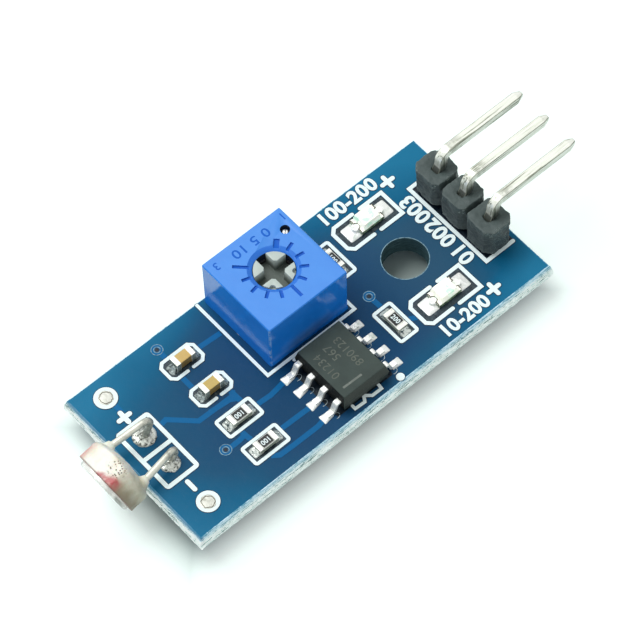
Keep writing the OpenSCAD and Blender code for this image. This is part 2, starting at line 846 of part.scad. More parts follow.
module trimmer_solder() {
    color([0.80, 0.80, 0.77])
        for (i = [1:3])
            trimmer_pin_place(i)
                difference() {
                    through_joint(trimmer_hole_r, trimmer_pin_d / 2 + 0.05, tail_l * 0.6);
                    translate([0, 0, -board_t - tail_l])
                        cylinder(d = trimmer_pin_d, h = board_t + tail_l + cut);
                }
}

// Middle of lead i of the comparator: 1 to 4 towards the sensor, 5 to 8 towards the header
function lead_side(i) = i <= 4 ? -1 : 1;
function lead_row(i) = i <= 4 ? 4 - i : i - 5;

module at_lead(i) {
    at(package_x, package_y + (lead_row(i) - 1.5) * package_pitch)
        rotate([0, 0, lead_side(i) > 0 ? 0 : 180])
            children();
}

// Gull-wing lead, as one outline with rounded bends
module comparator_lead_form() {
    t = package_lead_t;
    r = lead_bend_r;
    knee = package_w / 2 + lead_knee;
    foot_z = land_t;
    fall = 8;
    z1 = parting_z + t / 2;
    leg = (z1 - t - foot_z) * tan(fall);
    rotate([90, 0, 0])
        linear_extrude(package_lead_w, center = true)
            polygon(concat([[package_w / 2 - lead_embed, z1]],
                           arc(knee - r, z1 - r, r, 90, fall, 4),
                           arc(knee + leg + r, foot_z + t + r * 0.5, r * 0.5, 180 + fall, 270, 3),
                           [[package_span / 2, foot_z + t], [package_span / 2, foot_z]],
                           arc(knee + leg + r - t * 0.4, foot_z + r, r, 270, 180 + fall, 4),
                           arc(knee - r - t * 0.3, z1 - t - r * 0.4, r * 0.4, fall, 90, 3),
                           [[package_w / 2 - lead_embed, z1 - t]]));
}

module comparator_lead(i) {
    color([0.84, 0.85, 0.84])
        at_lead(i)
            comparator_lead_form();
}

module comparator_body() {
    color([0.23, 0.27, 0.27])
        difference() {
            at(package_x, package_y)
                drafted_block(package_w, package_l, package_lift, parting_z, package_top, 0.1, 0.16);
            for (i = [1:8])
                at_lead(i)
                    comparator_lead_form();
        }
}

module comparator_solder() {
    start = package_w / 2 + lead_knee + 0.15;
    color([0.84, 0.85, 0.84])
        for (i = [1:8])
            at_lead(i)
                chip_joint(start, package_span / 2, package_toe, package_lead_w + 0.2, package_lead_t * 0.7);
}

// Moves to resistor i and turns it
module at_resistor(i) {
    place = resistors[i - 1];
    at(place[0], place[1])
        rotate([0, 0, place[2] ? 90 : 0])
            children();
}

module resistor_body(i) {
    color([0.90, 0.90, 0.87])
        at_resistor(i)
            block(chip_l - 2 * terminal_t, chip_w, land_t + terminal_t, land_t + resistor_t - terminal_t);
}

module resistor_film(i) {
    color([0.12, 0.13, 0.13])
        at_resistor(i)
            block(chip_l - 2 * terminal_l, chip_w - 0.1, land_t + resistor_t - terminal_t, land_t + resistor_t);
}

// Two terminals, each wrapped round the top, the end and the underside of its end
module resistor_terminals(i) {
    color([0.88, 0.89, 0.87])
        at_resistor(i)
            for (side = [0, 180])
                rotate([0, 0, side])
                    difference() {
                        translate([chip_l / 2 - terminal_l, -chip_w / 2, land_t])
                            cube([terminal_l, chip_w, resistor_t]);
                        translate([0, 0, land_t + terminal_t])
                            block(chip_l - 2 * terminal_t, chip_w + 2 * cut, 0, resistor_t - 2 * terminal_t);
                    }
}

module resistor_solder() {
    color([0.74, 0.75, 0.73])
        for (i = [1:4])
            at_resistor(i)
                for (side = [0, 180])
                    rotate([0, 0, side])
                        chip_joint(chip_l / 2 - terminal_l, chip_l / 2, chip_toe, chip_w, resistor_t * 0.75);
}

module at_capacitor(i) {
    at(capacitors[i - 1][0], capacitors[i - 1][1])
        children();
}

module capacitor_body(i) {
    color([0.80, 0.67, 0.42])
        at_capacitor(i)
            block(chip_l - 2 * terminal_t, chip_w - 2 * terminal_t, land_t + terminal_t,
                  land_t + capacitor_t - terminal_t);
}

// Two terminals, each a five-sided cap over its end
module capacitor_terminals(i) {
    color([0.86, 0.86, 0.84])
        at_capacitor(i)
            for (side = [0, 180])
                rotate([0, 0, side])
                    difference() {
                        translate([chip_l / 2 - terminal_l * 1.2, -chip_w / 2, land_t])
                            cube([terminal_l * 1.2, chip_w, capacitor_t]);
                        translate([0, 0, land_t + terminal_t])
                            block(chip_l - 2 * terminal_t, chip_w - 2 * terminal_t, 0, capacitor_t - 2 * terminal_t);
                    }
}

module capacitor_solder() {
    color([0.74, 0.75, 0.73])
        for (i = [1:2])
            at_capacitor(i)
                for (side = [0, 180])
                    rotate([0, 0, side])
                        chip_joint(chip_l / 2 - terminal_l, chip_l / 2, chip_toe, chip_w, capacitor_t * 0.55);
}

// Base with a half-round notch in each end
module led_base() {
    notch_r = led_w * 0.22;
    color([0.88, 0.88, 0.78])
        difference() {
            block(led_l, led_w, land_t, land_t + led_base_t);
            for (side = [-1, 1])
                translate([side * led_l / 2, 0, 0])
                    cylinder(r = notch_r + terminal_t, h = led_base_t + cut);
        }
}

// Lens: a block with drafted ends and rounded upright edges
module led_lens() {
    color([0.86, 0.93, 0.84, 0.8])
        intersection() {
            drafted_block(led_lens_l, led_w, land_t + led_base_t, land_t + led_base_t,
                          land_t + led_base_t + led_lens_h, 0, 0.1);
            rounded_block(led_lens_l, led_w, land_t + led_base_t, land_t + led_base_t + led_lens_h, 0.12);
        }
}

// Two terminals: a half-round lining in each notch
module led_terminals() {
    notch_r = led_w * 0.22;
    strip = (led_l - led_lens_l) / 2;
    color([0.88, 0.88, 0.84])
        for (side = [0, 180])
            rotate([0, 0, side]) {
                difference() {
                    intersection() {
                        translate([led_l / 2, 0, land_t])
                            cylinder(r = notch_r + terminal_t, h = led_base_t);
                        block(led_l, led_w, 0, led_base_t + cut);
                    }
                    translate([led_l / 2, 0, 0])
                        cylinder(r = notch_r, h = led_base_t + cut);
                }
                difference() {
                    translate([led_l / 2 - strip, -led_w / 2, land_t + led_base_t])
                        cube([strip, led_w, terminal_t]);
                    translate([led_l / 2, 0, 0])
                        cylinder(r = notch_r, h = led_base_t + cut);
                }
            }
}

module at_led(y) {
    at(led_x, y)
        children();
}

module led_power_base() {
    at_led(led_power_y)
        led_base();
}

module led_power_lens() {
    at_led(led_power_y)
        led_lens();
}

module led_power_terminals() {
    at_led(led_power_y)
        led_terminals();
}

module led_output_base() {
    at_led(led_output_y)
        led_base();
}

module led_output_lens() {
    at_led(led_output_y)
        led_lens();
}

module led_output_terminals() {
    at_led(led_output_y)
        led_terminals();
}

module led_solder() {
    color([0.88, 0.89, 0.87])
        for (y = [led_power_y, led_output_y])
            at_led(y)
                for (side = [0, 180])
                    rotate([0, 0, side])
                        chip_joint(led_l / 2 - terminal_l, led_l / 2, led_toe, led_w * 0.96, led_base_t * 0.8);
}

circuit_board();
test_pads();
sensor_body();
sensor_track();
sensor_front_coat();
sensor_lead_far();
sensor_lead_near();
sensor_solder();
header_housing();
header_pin_far();
header_pin_middle();
header_pin_near();
header_solder();
trimmer_housing();
trimmer_rotor();
trimmer_seal();
trimmer_wiper();
trimmer_element();
trimmer_base();
for (i = [1:3])
    trimmer_pin(i);
trimmer_solder();
comparator_body();
for (i = [1:8])
    comparator_lead(i);
comparator_solder();
for (i = [1:4]) {
    resistor_body(i);
    resistor_film(i);
    resistor_terminals(i);
}
resistor_solder();
for (i = [1:2]) {
    capacitor_body(i);
    capacitor_terminals(i);
}
capacitor_solder();
led_power_base();
led_power_lens();
led_power_terminals();
led_output_base();
led_output_lens();
led_output_terminals();
led_solder();
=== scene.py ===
"""Looks of a small light sensor module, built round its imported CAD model.

Lengths are millimetres on the board's plan: x from the sensor's end, y from the near long edge and
z above the board's top face. piece() turns them into metres in the part's own frame. A Look's x, y
and z are millimetres in that frame, whose origin is the mounting hole's middle at the underside.
"""
import itertools
import math
from functools import reduce
from math import cos, hypot, pi, radians, sin
import bmesh
import bpy
from mathutils import Matrix, Vector, noise


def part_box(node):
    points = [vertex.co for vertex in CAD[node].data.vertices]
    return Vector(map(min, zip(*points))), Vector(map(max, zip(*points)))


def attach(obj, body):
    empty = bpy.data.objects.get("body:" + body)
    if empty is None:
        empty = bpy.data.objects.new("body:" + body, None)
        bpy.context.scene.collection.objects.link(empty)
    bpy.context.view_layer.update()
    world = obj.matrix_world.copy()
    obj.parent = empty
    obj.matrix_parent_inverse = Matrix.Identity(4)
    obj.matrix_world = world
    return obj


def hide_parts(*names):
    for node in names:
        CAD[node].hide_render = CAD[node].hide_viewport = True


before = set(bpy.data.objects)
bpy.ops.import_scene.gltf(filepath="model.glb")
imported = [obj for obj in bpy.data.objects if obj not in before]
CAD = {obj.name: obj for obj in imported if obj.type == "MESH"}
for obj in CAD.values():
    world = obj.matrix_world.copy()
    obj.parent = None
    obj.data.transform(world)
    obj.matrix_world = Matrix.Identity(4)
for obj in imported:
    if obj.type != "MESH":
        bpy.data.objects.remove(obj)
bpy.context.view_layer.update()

# Driving dimensions. A resistor's or a capacitor's third number is its turn on the plan
MM = 0.001
HOLE_X, HOLE_Y, HOLE_R = 23.6, 6.8, 1.6
BOARD_L, BOARD_W, BOARD_T = 30.3, 13.4, 1.6
ORIGIN = Vector((HOLE_X, HOLE_Y, -BOARD_T))
TAIL = 1.4  # how far the soldered tails stand out below the board
PITCH = 2.54
LEADS_X, LEADS_Y = 2.0, 6.7  # halfway between the sensor's two leads
HEADER_X, HEADER_YS = 28.75, [HOLE_Y + PITCH * i for i in (-1, 0, 1)]
TRIMMER_X, TRIMMER_Y, CASE_L, CASE_W, CASE_TOP = 14.86, 9.8, 6.7, 6.75, 4.62
SIGHT_X, SIGHT_Y = 2.5, 1.8  # the sight hole, from the trimmer's middle
CHIP_X, CHIP_Y, CHIP_TOP, LEAD_PITCH = 14.75, 3.14, 1.6, 1.27
PART_L, PART_W, PART_JOINT = 1.6, 0.8, 0.42  # the chip resistors and capacitors, and their joints' length
RESISTORS = ((7.51, 2.36, 0), (7.51, 4.98, 0), (19.79, 3.53, 90), (19.79, 9.76, 90))
CAPACITORS = ((7.5, 10.61, 0), (7.56, 7.82, 0))
LIGHTS = ((23.65, 10.67), (23.65, 3.01))
PADS = ((2.0, 11.9), (2.0, 1.65))
LEAN = radians(15)
DISC_AXIS = (-cos(LEAN), 0.0, -sin(LEAN))  # out of the sensor's front face
DISC_MIDDLE = (-24.5, -0.1, 2.72)  # in the part's frame


# Materials

def srgb(rgb):
    line = [c / 255 / 12.92 if c <= 10 else ((c / 255 + 0.055) / 1.055) ** 2.4 for c in rgb]
    return (*line, 1.0)


def brighter(rgb, more):
    return tuple(min(255, c + more) for c in rgb)


def add_node(tree, kind, inputs=None, **props):
    """A shader node of a kind, with numbers or other nodes' outputs in its inputs."""
    node = tree.nodes.new("ShaderNode" + kind)
    for key, value in props.items():
        setattr(node, key, value)
    for key, value in (inputs or {}).items():
        if isinstance(value, bpy.types.NodeSocket):
            tree.links.new(value, node.inputs[key])
        else:
            node.inputs[key].default_value = value
    return node


def seen_rays(tree):
    """1 for the rays that show the picture: straight, mirrored or through a clear part."""
    rays = add_node(tree, "LightPath").outputs
    seen = rays["Is Camera Ray"]
    for kind in ("Is Glossy Ray", "Is Transmission Ray"):
        seen = add_node(tree, "Math", {0: seen, 1: rays[kind]}, operation="MAXIMUM").outputs[0]
    return seen


class Look:
    """A Principled material and the nodes that feed it. Texture lengths are millimetres."""

    def __init__(self, name, colour=(200, 200, 200), **sockets):
        self.mat = bpy.data.materials.new(name)
        self.mat.use_nodes = True
        self.tree = self.mat.node_tree
        self.shader = self.tree.nodes["Principled BSDF"]
        self.shader.inputs["Base Color"].default_value = srgb(colour)
        self.base = colour
        for key, value in sockets.items():
            self.shader.inputs[key.replace("_", " ")].default_value = value
        place = self.add("TexCoord").outputs["Object"]
        self.mm = self.add("VectorMath", {0: place, "Scale": 1 / MM}, operation="SCALE").outputs[0]
        self.x, self.y, self.z = self.add("SeparateXYZ", {0: self.mm}).outputs
        self.normal = None

    def add(self, kind, inputs=None, **props):
        return add_node(self.tree, kind, inputs, **props)

    def noise(self, scale, detail=3.0, rough=0.5, stretch=(1, 1, 1), shift=(0, 0, 0), twist=0.0):
        place = self.add("Mapping", {0: self.mm, "Scale": stretch, "Location": shift}).outputs[0]
        inputs = {"Vector": place, "Scale": scale, "Detail": detail, "Roughness": rough, "Distortion": twist}
        return self.add("TexNoise", inputs).outputs["Fac"]

    def cells(self, scale):
        """Distance to the nearest of scattered points."""
        return self.add("TexVoronoi", {"Vector": self.mm, "Scale": scale}).outputs["Distance"]

    def ramp(self, fac, *stops):
        node = self.add("ValToRGB", {0: fac})
        elements = node.color_ramp.elements
        while len(elements) < len(stops):
            elements.new(0.5)
        for element, (place, colour) in zip(elements, stops):
            element.position = place
            element.color = srgb(colour)
        return node.outputs[0]

    def step(self, value, low, high, start=0.0, end=1.0):
        """A soft step from start to end, while the value goes from low to high."""
        inputs = {0: value, 1: low, 2: high, 3: start, 4: end}
        return self.add("MapRange", inputs, interpolation_type="SMOOTHSTEP").outputs[0]

    def calc(self, op, *values):
        """One operation over two or more values, from the left."""
        return reduce(lambda a, b: self.add("Math", {0: a, 1: b}, operation=op).outputs[0], values)

    def times(self, *values):
        return self.calc("MULTIPLY", *values)

    def plus(self, *values):
        return self.calc("ADD", *values)

    def most(self, *values):
        return self.calc("MAXIMUM", *values)

    def off(self, value, middle):
        """How far a value is from a middle, on either side."""
        difference = self.calc("SUBTRACT", value, middle)
        return self.add("Math", {0: difference}, operation="ABSOLUTE").outputs[0]

    def mix(self, fac, a, b, mode="MIX"):
        a, b = (srgb(colour) if isinstance(colour, tuple) else colour for colour in (a, b))
        return self.add("Mix", {0: fac, 6: a, 7: b}, data_type="RGBA", blend_type=mode).outputs[2]

    def vector(self, op, a, b, output="Value"):
        return self.add("VectorMath", {0: a, 1: b}, operation=op).outputs[output]

    def depth(self):
        """How far out a place lies along the sensor disc's axis, from the disc's middle."""
        return self.vector("DOT_PRODUCT", self.vector("SUBTRACT", self.mm, DISC_MIDDLE, "Vector"), DISC_AXIS)

    def bump(self, height, depth, strength=1.0):
        inputs = {"Height": height, "Distance": depth * MM, "Strength": strength}
        if self.normal is not None:
            inputs["Normal"] = self.normal
        self.normal = self.add("Bump", inputs).outputs[0]
        self.tree.links.new(self.normal, self.shader.inputs["Normal"])
        return self

    def paint(self, fac, colour):
        """Lays a colour over the one so far."""
        self.base = self.mix(fac, self.base, colour)

    def done(self, **sockets):
        """Feeds the shader's colour and other sockets, and gives the finished material."""
        for key, socket in dict(sockets, Base_Color=self.base).items():
            self.tree.links.new(socket, self.shader.inputs[key.replace("_", " ")])
        return self.mat


def mask_look(name, copper=False):
    """Satin blue solder mask, dark in the middle of the board and paler towards its ends and edges: a painted
    sheen.
    """
    look = Look(name, Roughness=0.34, Specular_IOR_Level=0.1)
    squares = []
    for value, middle, reach in ((look.y, -1.6, 8.8), (look.x, -8.6, 16.0)):
        squares.append(look.calc("POWER", look.times(look.off(value, middle), 1 / reach), 2.0))
    cloud = look.step(look.noise(0.2, 2.0), 0.3, 0.7, -0.07, 0.07)
    # more painted sheen along the near edge, from the middle of the board towards the header
    near = look.times(look.step(look.y, -4.6, -6.4), look.step(look.x, -10.0, -6.0, 0.0, 0.2))
    far = look.plus(look.times(look.plus(*squares), 1 / 1.5), cloud, near)
    # painted sheen: the colour runs from dark in the middle of the board to pale at its ends and edges
    look.base = look.ramp(far, (0.03, (12, 64, 103)), (0.2, (22, 71, 111)), (0.4, (20, 82, 119)),
                     (0.6, (8, 98, 138)), (0.95, (30, 121, 162)))
    # greyer towards the header, in the middle of the board
    header = look.times(look.step(look.x, -5.0, 1.0), look.step(far, 0.6, 0.3), 0.6)
    look.paint(header, (50, 88, 113))
    if copper:
        look.paint(0.75, (6, 110, 172))
    grain = look.noise(26.0, 2.0)
    look.paint(look.step(grain, 0.35, 0.75, 0.0, 0.06), (60, 112, 150))
    look.bump(look.noise(3.0, 2.0), 0.010).bump(grain, 0.003)
    return look.done(Roughness=look.step(look.noise(2.2, 3.0), 0.3, 0.7, 0.28, 0.42))


def edge_look():
    """Cut edge of the laminate: pale, slightly see-through fibres in layers, with chips and dark pits, and a
    painted glow for the light through it.
    """
    look = Look("laminate_edge", Roughness=0.62, Specular_IOR_Level=0.3)
    layers = look.noise(2.6, 4.0, 0.6, stretch=(0.22, 0.22, 3.2), twist=0.3)
    fibres = look.noise(6.5, 5.0, 0.75, stretch=(0.5, 0.5, 2.2), shift=(3, 1, 0), twist=0.8)
    look.base = look.ramp(layers, (0.4, (112, 136, 134)), (0.46, (206, 224, 220)), (0.54, (250, 254, 252)))
    look.paint(look.step(fibres, 0.52, 0.58, 0.0, 0.95), (254, 255, 254))
    look.paint(look.step(fibres, 0.46, 0.4, 0.0, 0.85), (98, 120, 119))
    look.paint(look.step(look.z, 1.05, 1.55, 0.0, 0.5), (84, 166, 204))
    # at the sensor's end the mask creeps over the edge, and the cut below it is not darkened and has a
    # stronger painted glow
    to_end = (0.3 - HOLE_X, -HOLE_X)
    end = look.step(look.x, *to_end)
    ragged_z = look.plus(look.z, look.step(fibres, 0.3, 0.7, -0.1, 0.1))
    look.paint(look.times(look.step(ragged_z, 1.36, 1.5, 0.0, 0.8), end), (30, 108, 146))
    # darker towards the bottom of the edge, except at the sensor's end
    low = look.calc("SUBTRACT", look.step(look.z, 0.75, 0.3, 0.0, 0.15), look.times(end, 0.15))
    look.paint(low, (132, 158, 156))
    below = look.times(end, look.step(look.z, 1.2, 0.3, 0.0, 0.42))
    # painted glow: the whole edge glows in its own colour, more low down on the sensor's end
    glow = look.plus(look.step(look.x, *to_end, 0.4, 0.3), below)
    tint = look.mix(look.step(look.x, *to_end, 1.0, 0.2), look.base, (240, 250, 249), "MULTIPLY")
    look.bump(fibres, 0.05).bump(layers, 0.03)
    return look.done(Emission_Strength=glow, Emission_Color=tint)


def hole_look():
    """Drilled wall of the mounting hole: dull grey-green with the drill's rings, darker than the cut edge as
    a painted shade of the hole.
    """
    look = Look("drilled_wall_painted_shade", Roughness=0.7, Specular_IOR_Level=0.25)
    rings = look.noise(9.0, 3.0, 0.6, stretch=(0.25, 0.25, 2.2))
    look.bump(rings, 0.03)
    look.base = look.ramp(rings, (0.3, (38, 66, 74)), (0.55, (60, 92, 98)), (0.8, (98, 130, 134)))
    return look.done()


def ink_look():
    """White screen-printed ink, a little uneven, with a painted glow."""
    look = Look("white_ink", Roughness=0.55, Specular_IOR_Level=0.3, Emission_Strength=0.11)
    wear = look.noise(9.0, 4.0, 0.65)
    look.base = look.ramp(wear, (0.22, (220, 234, 237)), (0.36, (236, 250, 251)), (0.6, (241, 254, 255)))
    look.bump(look.noise(30.0, 2.0), 0.006)
    return look.done(Emission_Color=look.base)


def solder_look(name, light, dark, pits=0.25, metallic=0.6, scale=2.4, rough=0.32, holes=5.0, waves=0.03,
                low=0.28):
    """Solder with soft wrinkles, flux-dark hollows and pits."""
    look = Look(name, Metallic=metallic, Roughness=rough)
    waves_at = look.noise(scale, 3.0, 0.55, twist=0.6)
    pit = look.cells(holes)
    look.base = look.ramp(waves_at, (low, dark), (low + 0.16, light), (0.85, brighter(light, 10)))
    look.paint(look.step(pit, 0.08, 0.24, pits, 0.0), dark)
    look.bump(waves_at, waves).bump(pit, 0.02, 0.6)
    return look.done(Roughness=look.step(waves_at, 0.3, 0.7, rough * 1.3, rough * 0.8))


def tin_look(name, light, dark, scale=2.0, rough=0.3, metallic=1.0, stretch=(1, 1, 1)):
    """Tin plate with cloudy dark smudges."""
    look = Look(name, Metallic=metallic, Roughness=rough)
    smudge = look.noise(scale, 4.0, 0.6, stretch=stretch, twist=0.3)
    fine = look.noise(scale * 9, 2.0, 0.5, stretch=stretch)
    look.bump(smudge, 0.012).bump(fine, 0.004)
    look.base = look.ramp(smudge, (0.3, dark), (0.43, light), (0.75, brighter(light, 14)))
    return look.done(Roughness=look.step(fine, 0.3, 0.7, rough * 0.75, rough * 1.3))


def pin_look():
    """Bright tin plate drawn out along the pin, greyer past its bend, with painted shade low on its upright
    part, most on its side facing the near edge.
    """
    look = Look("pin_plate", Metallic=0.35, Roughness=0.34)
    upright = look.noise(1.7, 4.0, 0.6, stretch=(3.4, 3.4, 0.16))
    level = look.noise(1.7, 4.0, 0.6, stretch=(0.16, 3.8, 3.8), twist=0.2)
    drawn = look.plus(look.times(look.step(look.x, 6.1, 5.7), upright),
                      look.times(look.step(look.x, 5.7, 6.1), level))
    look.base = look.ramp(drawn, (0.37, (134, 138, 124)), (0.43, (232, 235, 221)), (0.6, (254, 255, 247)))
    smudge = look.times(look.step(look.noise(2.4, 4.0, 0.6), 0.4, 0.6, 0.15, 0.6),
                        look.step(look.x, 6.0, 6.25), look.step(look.x, 7.6, 6.5))
    look.paint(smudge, (146, 150, 136))
    # painted shade low on the upright part, most on the side facing the near edge
    facing = look.add("SeparateXYZ", {0: look.add("NewGeometry").outputs["Normal"]})
    side = look.most(look.step(facing.outputs[1], -0.25, -0.7, 0.3, 1.0), look.step(look.z, 4.75, 4.5))
    foot = look.times(look.step(look.z, 5.5, 4.6), look.step(look.x, 6.2, 5.7))
    look.paint(look.times(foot, side, 0.9), (62, 70, 66))
    look.bump(drawn, 0.012).bump(look.noise(20.0, 2.0), 0.003)
    return look.done(Roughness=look.step(drawn, 0.3, 0.7, 0.42, 0.26))


def wire_look():
    """Tinned wire, greyer in patches from the sensor leads' tails onwards along x, over their legs and bends.
    """
    look = Look("tinned_wire", Metallic=0.45, Roughness=0.42)
    smudge = look.noise(1.1, 4.0, 0.6, twist=0.3)
    look.base = look.ramp(smudge, (0.3, (162, 164, 154)), (0.43, (214, 214, 201)), (0.75, (228, 228, 216)))
    scuff = look.noise(3.2, 5.0, 0.7, shift=(4, 2, 6), twist=0.5)
    bent = look.times(look.step(look.x, -22.3, -21.5), look.step(scuff, 0.4, 0.62, 0.2, 0.8))
    look.bump(scuff, 0.02).bump(smudge, 0.012)
    look.paint(bent, (112, 114, 106))
    return look.done()


def moulded_look(name, colour, speck, scale=14.0, rough=0.5, specular=0.4, grain=0.012, spread=0.35,
                 deep=None):
    """Moulded plastic with a grain and specks. deep is a low z, a high z and the colour painted below them as
    shade in hollows.
    """
    look = Look(name, Roughness=rough, Specular_IOR_Level=specular)
    fine = look.noise(scale, 3.0, 0.6)
    look.base = look.mix(look.step(look.noise(0.9, 3.0), 0.3, 0.7, 0.0, spread * 0.6), colour, speck)
    look.paint(look.step(fine, 0.55, 0.75, 0.0, spread), speck)
    if deep:
        look.base = look.mix(look.step(look.z, deep[0], deep[1]), deep[2], look.base)
    look.bump(fine, grain)
    return look.done(Roughness=look.step(fine, 0.3, 0.7, rough * 0.85, min(1.0, rough * 1.15)))


def header_look():
    """Matt dark moulding, paler towards its top as painted light and darker in its creases as painted shade,
    with pale specks where the end was snapped off and pale specks worn on its sharp edges.
    """
    look = Look("header_moulding", Roughness=0.55, Specular_IOR_Level=0.4)
    look.base = look.mix(look.step(look.noise(1.3, 3.0), 0.3, 0.7), (56, 65, 66), (68, 78, 78))
    # painted light: paler towards the top
    look.paint(look.step(look.z, 3.6, 4.2, 0.0, 0.55), (84, 97, 96))
    specks = look.noise(17.0, 5.0, 0.75, shift=(2, 8, 1))
    snapped = look.times(look.step(specks, 0.55, 0.66), look.step(look.y, -3.5, -3.85, 0.05, 0.95))
    edge = look.add("NewGeometry").outputs["Pointiness"]
    pale_edges = look.times(look.step(edge, 0.53, 0.6), look.step(specks, 0.46, 0.6, 0.05, 0.7),
                        look.step(look.z, 3.4, 3.9, 0.08, 1.0))
    look.paint(look.most(snapped, pale_edges), (176, 190, 184))
    look.bump(look.noise(15.0, 4.0, 0.65), 0.02).bump(look.noise(2.0, 3.0), 0.03)
    # painted shade: darker in creases and hollows
    look.paint(look.step(edge, 0.49, 0.43, 0.0, 0.6), (30, 36, 37))
    return look.done()


def blue_top_look():
    """Satin top of the trimmer's blue case, paler than the sides as a painted sheen."""
    look = Look("trimmer_blue_top", Roughness=0.5, Specular_IOR_Level=0.8)
    flow = look.noise(0.55, 3.0, 0.5, twist=0.6)
    look.bump(look.noise(22.0, 2.0), 0.004).bump(look.noise(1.1, 2.0), 0.02)
    look.base = look.ramp(flow, (0.25, (48, 135, 232)), (0.5, (52, 139, 235)), (0.8, (56, 143, 238)))
    return look.done()


def blue_side_look():
    """Glossy sides of the case, with flow marks and scuffs, and paler along the corner nearest the sensor."""
    look = Look("trimmer_blue_sides", Roughness=0.12, Specular_IOR_Level=0.34,
                Specular_Tint=(0.8, 1.0, 1.0, 1.0))
    flow = look.noise(0.55, 3.0, 0.5, twist=0.6)
    look.base = look.ramp(flow, (0.25, (26, 122, 224)), (0.5, (32, 130, 232)), (0.8, (40, 136, 238)))
    scuff = look.noise(3.4, 5.0, 0.75, twist=0.8)
    look.paint(look.step(scuff, 0.62, 0.72, 0.0, 0.2), (96, 156, 238))
    # paler along the vertical corner nearest the sensor, broken by noise
    corner = look.plus(look.off(look.x, TRIMMER_X - CASE_L / 2 - HOLE_X),
                       look.off(look.y, TRIMMER_Y - CASE_W / 2 - HOLE_Y))
    pale_edges = look.times(look.step(corner, 0.16, 0.05), look.step(look.noise(2.6, 4.0, 0.7), 0.42, 0.56), 0.75)
    shine = look.times(look.step(look.z, 3.4, 4.6, 0.08, 0.42), look.step(look.x, -9, -7.5, 1.0, 0.5))
    dull = look.step(look.noise(2.0, 4.0), 0.3, 0.7, 0.09, 0.17)
    look.bump(look.noise(22.0, 2.0), 0.001).bump(look.noise(1.1, 2.0), 0.008)
    look.paint(pale_edges, (150, 190, 236))
    return look.done(Specular_IOR_Level=shine, Roughness=dull)


def disc_look():
    """Cream resin, stained pink along the front rim, tan at its near end and browner there towards the front
    as painted shade, and pitted on top.
    """
    look = Look("sensor_coating", Roughness=0.36, Specular_IOR_Level=0.5, Subsurface_Weight=0.15,
                Subsurface_Scale=0.6 * MM)
    depth = look.depth()
    edge = look.plus(depth, look.step(look.noise(0.9, 4.0, 0.55), 0.25, 0.75, -0.12, 0.12))
    cream = look.ramp(look.noise(0.8, 3.0, 0.5), (0.3, (238, 230, 208)), (0.5, (250, 246, 234)),
                      (0.7, (254, 252, 246)))
    mottle = look.step(look.noise(1.6, 4.0, 0.6, shift=(6, 3, 4)), 0.3, 0.7, 0.55, 1.0)
    collar = look.step(depth, -0.62, -0.3, 0.25, 1.0)
    tan = look.times(look.step(look.y, -0.7, -1.7, 0.0, 0.9), mottle, collar)
    look.base = look.mix(tan, cream, (198, 190, 162))
    # painted shade: browner at the near end, towards the front
    brown = look.times(look.step(look.y, -0.8, -1.7), look.step(edge, 0.35, 1.25), 0.85)
    look.paint(brown, (140, 122, 98))
    # the stain reaches furthest back towards the near end, and tints the far end
    start = look.step(look.y, 0.7, -1.45, 1.28, 0.5)
    reach = look.times(look.calc("SUBTRACT", edge, start), 2.4)
    cloud = look.step(look.noise(3.4, 4.0, 0.6, shift=(3, 1, 7)), 0.25, 0.6, 0.55, 1.0)
    pink = look.times(look.step(reach, 0.0, 1.0), look.step(look.y, -1.9, -1.4), cloud, 0.92)
    end = look.times(look.step(look.y, 1.15, 1.95, 0.0, 0.95), look.step(edge, -0.3, 0.7))
    strong = look.most(look.step(reach, 0.1, 0.9), look.step(look.y, 1.6, 2.2, 0.0, 0.7))
    look.paint(look.most(pink, end), look.mix(strong, (222, 150, 142), (190, 72, 80)))
    look.paint(look.step(depth, 1.28, 1.38, 0.0, 0.6), (126, 92, 86))
    near = look.vector("DISTANCE", look.mm, (-25.28, -0.85, 4.68))
    pits = look.times(look.step(look.cells(6.0), 0.2, 0.38, 1.0, 0.0), look.step(near, 0.8, 0.4, 0.0, 0.95))
    look.bump(look.noise(2.2, 4.0, 0.55), 0.04).bump(pits, -0.05)
    look.paint(pits, (112, 92, 76))
    return look.done()


def clear_look(name, tint, shade, weight, rough=0.12, scale=0.8, spread=0.5, glow=0.0, spots=()):
    """Cloudy resin with soft waves, a painted glow, and darker spots on the disc's front at some y."""
    look = Look(name, tint, Roughness=rough, Transmission_Weight=weight, IOR=1.5, Coat_Weight=0.5,
                Coat_Roughness=0.08, Emission_Strength=glow)
    look.base = look.mix(look.step(look.noise(scale, 3.0), 0.52, 0.68, 0.0, spread), tint, shade)
    for y in spots:
        spot = look.times(look.step(look.off(look.y, y), 0.3, 0.1, 0.0, 0.8),
                          look.step(look.depth(), 1.44, 1.56))
        look.paint(spot, (104, 110, 102))
    look.bump(look.noise(0.8, 3.0), 0.05)
    return look.done(Emission_Color=look.base)


def ringed_look(name, light, dark):
    """Small print-like rings with a broken line."""
    look = Look(name, Roughness=0.4)
    grain = look.noise(5.0, 3.0)
    look.bump(grain, 0.01)
    look.base = look.ramp(grain, (0.36, dark), (0.56, light))
    return look.done()


def flux_look(name, dark, middle, light):
    """A mottled film in three tones, glossy in places: flux and painted shade round the pads, painted shade
    elsewhere, and dark lines.
    """
    look = Look(name, Roughness=0.3, Specular_IOR_Level=0.3)
    film = look.noise(3.0, 4.0, 0.6, twist=0.5)
    look.bump(film, 0.03)
    look.base = look.ramp(film, (0.35, dark), (0.58, middle), (0.74, light))
    return look.done(Roughness=look.step(film, 0.3, 0.7, 0.25, 0.5))


